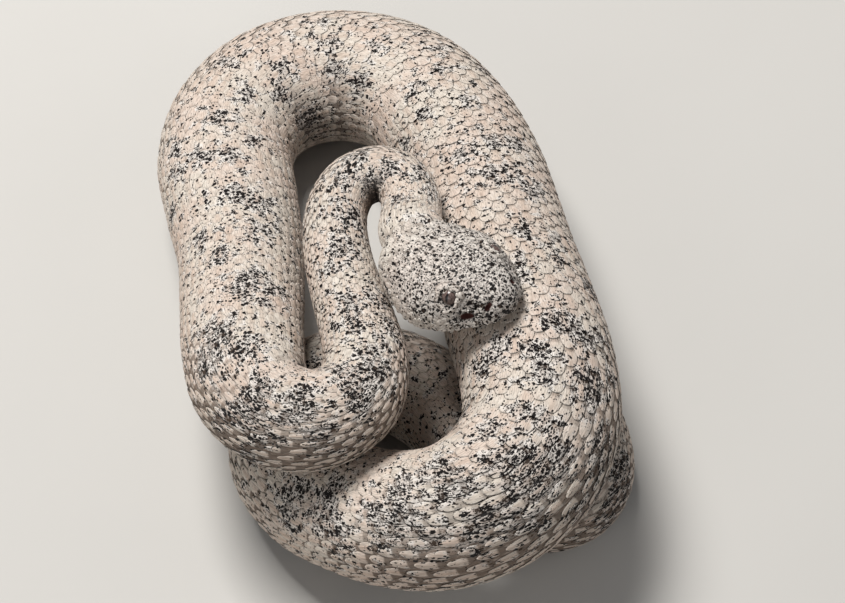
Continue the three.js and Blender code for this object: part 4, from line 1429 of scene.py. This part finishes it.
# distance forward, height, and the width, length and thickness of the plates at each nostril
NOSTRIL_PLATES = ((33.9, 3.3, (1.8, 2.7, 0.55)), (37.6, 2.3, (2.0, 2.4, 0.5)))
off_tip = np.hypot(face_y, face_z + head_size(HEAD_LENGTH)[3] - TIP_PLATE_RISE)
foremost = int(np.argmin(off_tip - face_x * 10))
spots, sizes = [foremost], [TIP_PLATE]
for side in (1, -1):
    for x, z, size in NOSTRIL_PLATES:
        spots.append(nearest_spot(x, z, side))
        sizes.append(size)
towards = [HEAD_DOWN] * len(spots)
lay_on_head("snout_plates", plate_form, (spots, towards, sizes), vary=(0.0, 0.0), sink=0.12)
bpy.data.objects.remove(plate_form)

# A ring of small pale scales round each eye, tips towards it, and two rows that roof it.
spots, towards, sizes = [], [], []
for eye_spot in eye_spots:
    middle_spot, out = head_points[eye_spot], head_out[eye_spot]
    ahead = unit(HEAD_AXES[:, 0] - out * (HEAD_AXES[:, 0] @ out))
    over = np.cross(out, ahead) * np.sign(np.cross(out, ahead) @ HEAD_AXES[:, 2])
    for radius, start, end, count, width, length in RIM_ROWS:
        for angle in np.radians(np.linspace(start, end, count)):
            aim = middle_spot + radius * (ahead * math.cos(angle) + over * math.sin(angle))
            spot = surface_tree.find(Vector(aim))[1]
            spots.append(spot)
            towards.append(middle_spot - head_points[spot])
            sizes.append((width, length, RIM_HEIGHT[0] + RIM_HEIGHT[1] * math.sin(angle)))
rim_form = make_scale_form("rim_scale", GRANULE_COLUMNS, GRANULE_ROWS, plate_outline, 0.55, 0.6, 0.0)
lay_on_head(
    "eye_rims", rim_form, (spots, towards, sizes), vary=(0.06, 0.05), sink=0.1, dusted=0.6, tint=-0.8,
)
bpy.data.objects.remove(rim_form)

# ---------------------------------------------------------------- eyes
# Wet balls set into the sides of the head under the brows, with a brown-grey iris flecked with
# pale pink, and a black pupil that stands as an upright slit.

EYE_RINGS = 40
EYE_SIDES = 56
EYE_FORWARD = math.radians(12)
EYE_UPWARD = math.radians(36)
IRIS_BROWN = (0.07, 0.045, 0.038, 1)
IRIS_PINK = (0.20, 0.14, 0.125, 1)
IRIS_SHADOW = (0.08, 0.05, 0.045, 1)
EYE_EDGE_SHADE = (0.03, 0.02, 0.018, 1)
PUPIL_BLACK = (0.004, 0.003, 0.003, 1)
PUPIL_HALF_WIDTH = 0.42
PUPIL_HALF_HEIGHT = 1.75

eye_material, tree, surface = shader("wet_eye")
gaze = put(tree, "ShaderNodeAttribute", attribute_name="gaze").outputs["Vector"]
axes = put(tree, "ShaderNodeSeparateXYZ", {0: gaze}).outputs
wide = calc(tree, "ABSOLUTE", calc(tree, "DIVIDE", axes[0], PUPIL_HALF_WIDTH))
tall = calc(tree, "ABSOLUTE", calc(tree, "DIVIDE", axes[1], PUPIL_HALF_HEIGHT))
slit = calc(tree, "ADD", wide, calc(tree, "POWER", tall, 2.0))
flecks = noise(tree, 3.2, 4.0, Vector=gaze)[0]
iris = mixed(tree, fade(tree, flecks, 0.40, 0.62), IRIS_BROWN, IRIS_PINK)
iris = mixed(tree, fade(tree, axes[1], 0.4, -1.6, 0.0, 0.6), iris, IRIS_SHADOW)
with_pupil = mixed(tree, fade(tree, slit, 1.12, 0.9), iris, PUPIL_BLACK)
# Painted shade round the edge of the ball, where it turns in under the lids.
eye_colour = mixed(tree, fade(tree, axes[2], 1.3, 0.7), with_pupil, EYE_EDGE_SHADE)
tree.links.new(eye_colour, surface.inputs["Base Color"])
surface.inputs["Roughness"].default_value = 0.25
surface.inputs["Coat Weight"].default_value = 0.35
surface.inputs["Coat Roughness"].default_value = 0.1


def face_width(x, z):
    """How far out the side of the head is at a place given from the side."""
    half, crown, _, lip = head_size(x)
    high = (z / crown) ** (1 / HEAD_BOXINESS)
    across = math.cos(math.asin(high)) ** HEAD_BOXINESS
    rise = (z + lip) / (crown + lip)
    return across * (half * (1 - CROWN_TAPER * rise) + lip_ridge(z + lip))


for name, side in (("left", 1), ("right", -1)):
    latitude = np.linspace(POLE_GAP, math.pi - POLE_GAP, EYE_RINGS)
    longitude = -side * np.arange(EYE_SIDES) / EYE_SIDES * 2 * math.pi
    ball = np.stack([
        np.sin(latitude)[:, None] * np.cos(longitude),
        np.sin(latitude)[:, None] * np.sin(longitude),
        np.cos(latitude)[:, None] + 0 * longitude,
    ], -1) * EYE["radius"]
    looking = turn_about("z", -side * EYE_FORWARD) @ turn_about("x", side * EYE_UPWARD)
    forward, upward, outward = looking[:, 0], looking[:, 2], looking[:, 1] * side
    turned = ball @ np.stack([forward, upward, outward])
    middle_y = (face_width(EYE["x"], EYE["z"]) - EYE["inset"]) * side
    ball_points = from_head(turned + np.array([EYE["x"], middle_y, EYE["z"]]))
    eye = mesh_object("ball_" + name, ball_points, tube_faces(EYE_RINGS, EYE_SIDES))
    keep_attribute(eye.data, "gaze", ball.reshape(-1, 3))
    eye.data.materials.append(eye_material)
    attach(eye, "root")
    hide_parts("eye_" + name)

# ---------------------------------------------------------------- rattle
# Seven loose horny buttons, each a double bulge that grips the one before it, dull brown-grey and
# paler on the bulges than in the joins between them. A shallow groove runs down both sides.

BUTTONS = 7
BUTTON_PITCH = 3.1
BUTTON_ROOT = 5.0
BUTTON_TIP = 3.9
BUTTON_HEIGHT = 0.72
BUTTON_SIDES = 64
JOINT_GAP = 0.3
GROOVE_DEPTH = 0.07       # as a share of the radius
GROOVE_WIDTH = 0.22       # as an angle
# share of the radius and of the pitch, from the buried front to the free back
BUTTON_PROFILE = np.array([
    (-0.15, 0.04), (-0.13, 0.58), (0.02, 0.85), (0.2, 0.96), (0.45, 1.0), (0.62, 0.93), (0.74, 0.85),
    (0.86, 0.86), (0.97, 0.86), (1.1, 0.8), (1.24, 0.62), (1.3, 0.3), (1.302, 0.04),
])

profile = np.vstack([BUTTON_PROFILE[:2], smooth_table(BUTTON_PROFILE[2:-2], 3), BUTTON_PROFILE[-2:]])
button_angles = np.arange(BUTTON_SIDES) / BUTTON_SIDES * 2 * math.pi
from_side = np.arcsin(np.abs(np.sin(button_angles)))
groove = 1 - GROOVE_DEPTH * np.exp(-((from_side / GROOVE_WIDTH) ** 2))
level = unit(along[-1] * np.array([1, 1, 0]))
aside = np.cross(level, UP)
start = centres[-1] + level * (JOINT_GAP - BUTTON_PROFILE[0, 0] * BUTTON_PITCH)
start[2] = BUTTON_ROOT * BUTTON_HEIGHT
rattle_points, rattle_faces, bulge = [], [], []
for i in range(BUTTONS):
    radius = BUTTON_ROOT + (BUTTON_TIP - BUTTON_ROOT) * i / (BUTTONS - 1)
    reach = (profile[:, 0] + i) * BUTTON_PITCH
    spread = profile[:, 1][:, None] * groove * radius
    rings = start + level * reach[:, None, None] + aside * (spread * np.cos(button_angles))[..., None]
    rings = rings + UP * (spread * np.sin(button_angles) * BUTTON_HEIGHT)[..., None]
    offset = i * rings.shape[0] * BUTTON_SIDES
    rattle_points.append(rings.reshape(-1, 3))
    rattle_faces += [tuple(v + offset for v in face) for face in tube_faces(len(profile), BUTTON_SIDES)]
    bulge.append(np.repeat(profile[:, 1], BUTTON_SIDES))
rattle = mesh_object("rattle_buttons", np.vstack(rattle_points), rattle_faces)
keep_numbers(rattle.data, bulge=np.concatenate(bulge))

HORN_DARK = (0.075, 0.05, 0.036, 1)
HORN_PALE = (0.40, 0.29, 0.19, 1)
rattle_material, tree, surface = shader("rattle_horn")
place = put(tree, "ShaderNodeTexCoord").outputs["Object"]
mottle = noise(tree, 900.0, 5.0, Vector=place)[0]
bulge_paling = fade(tree, calc(tree, "MULTIPLY_ADD", mottle, 0.35, read(tree, "bulge")), 0.9, 1.2)
tree.links.new(mixed(tree, bulge_paling, HORN_DARK, HORN_PALE), surface.inputs["Base Color"])
surface.inputs["Roughness"].default_value = 0.42
give_relief(tree, surface, mottle, 0.4, 0.0002)
rattle.data.materials.append(rattle_material)
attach(rattle, "root")
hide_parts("rattle")

low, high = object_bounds()
sizes = {"cad": [list(cad_low), list(cad_high)], "visual": [list(low), list(high)]}
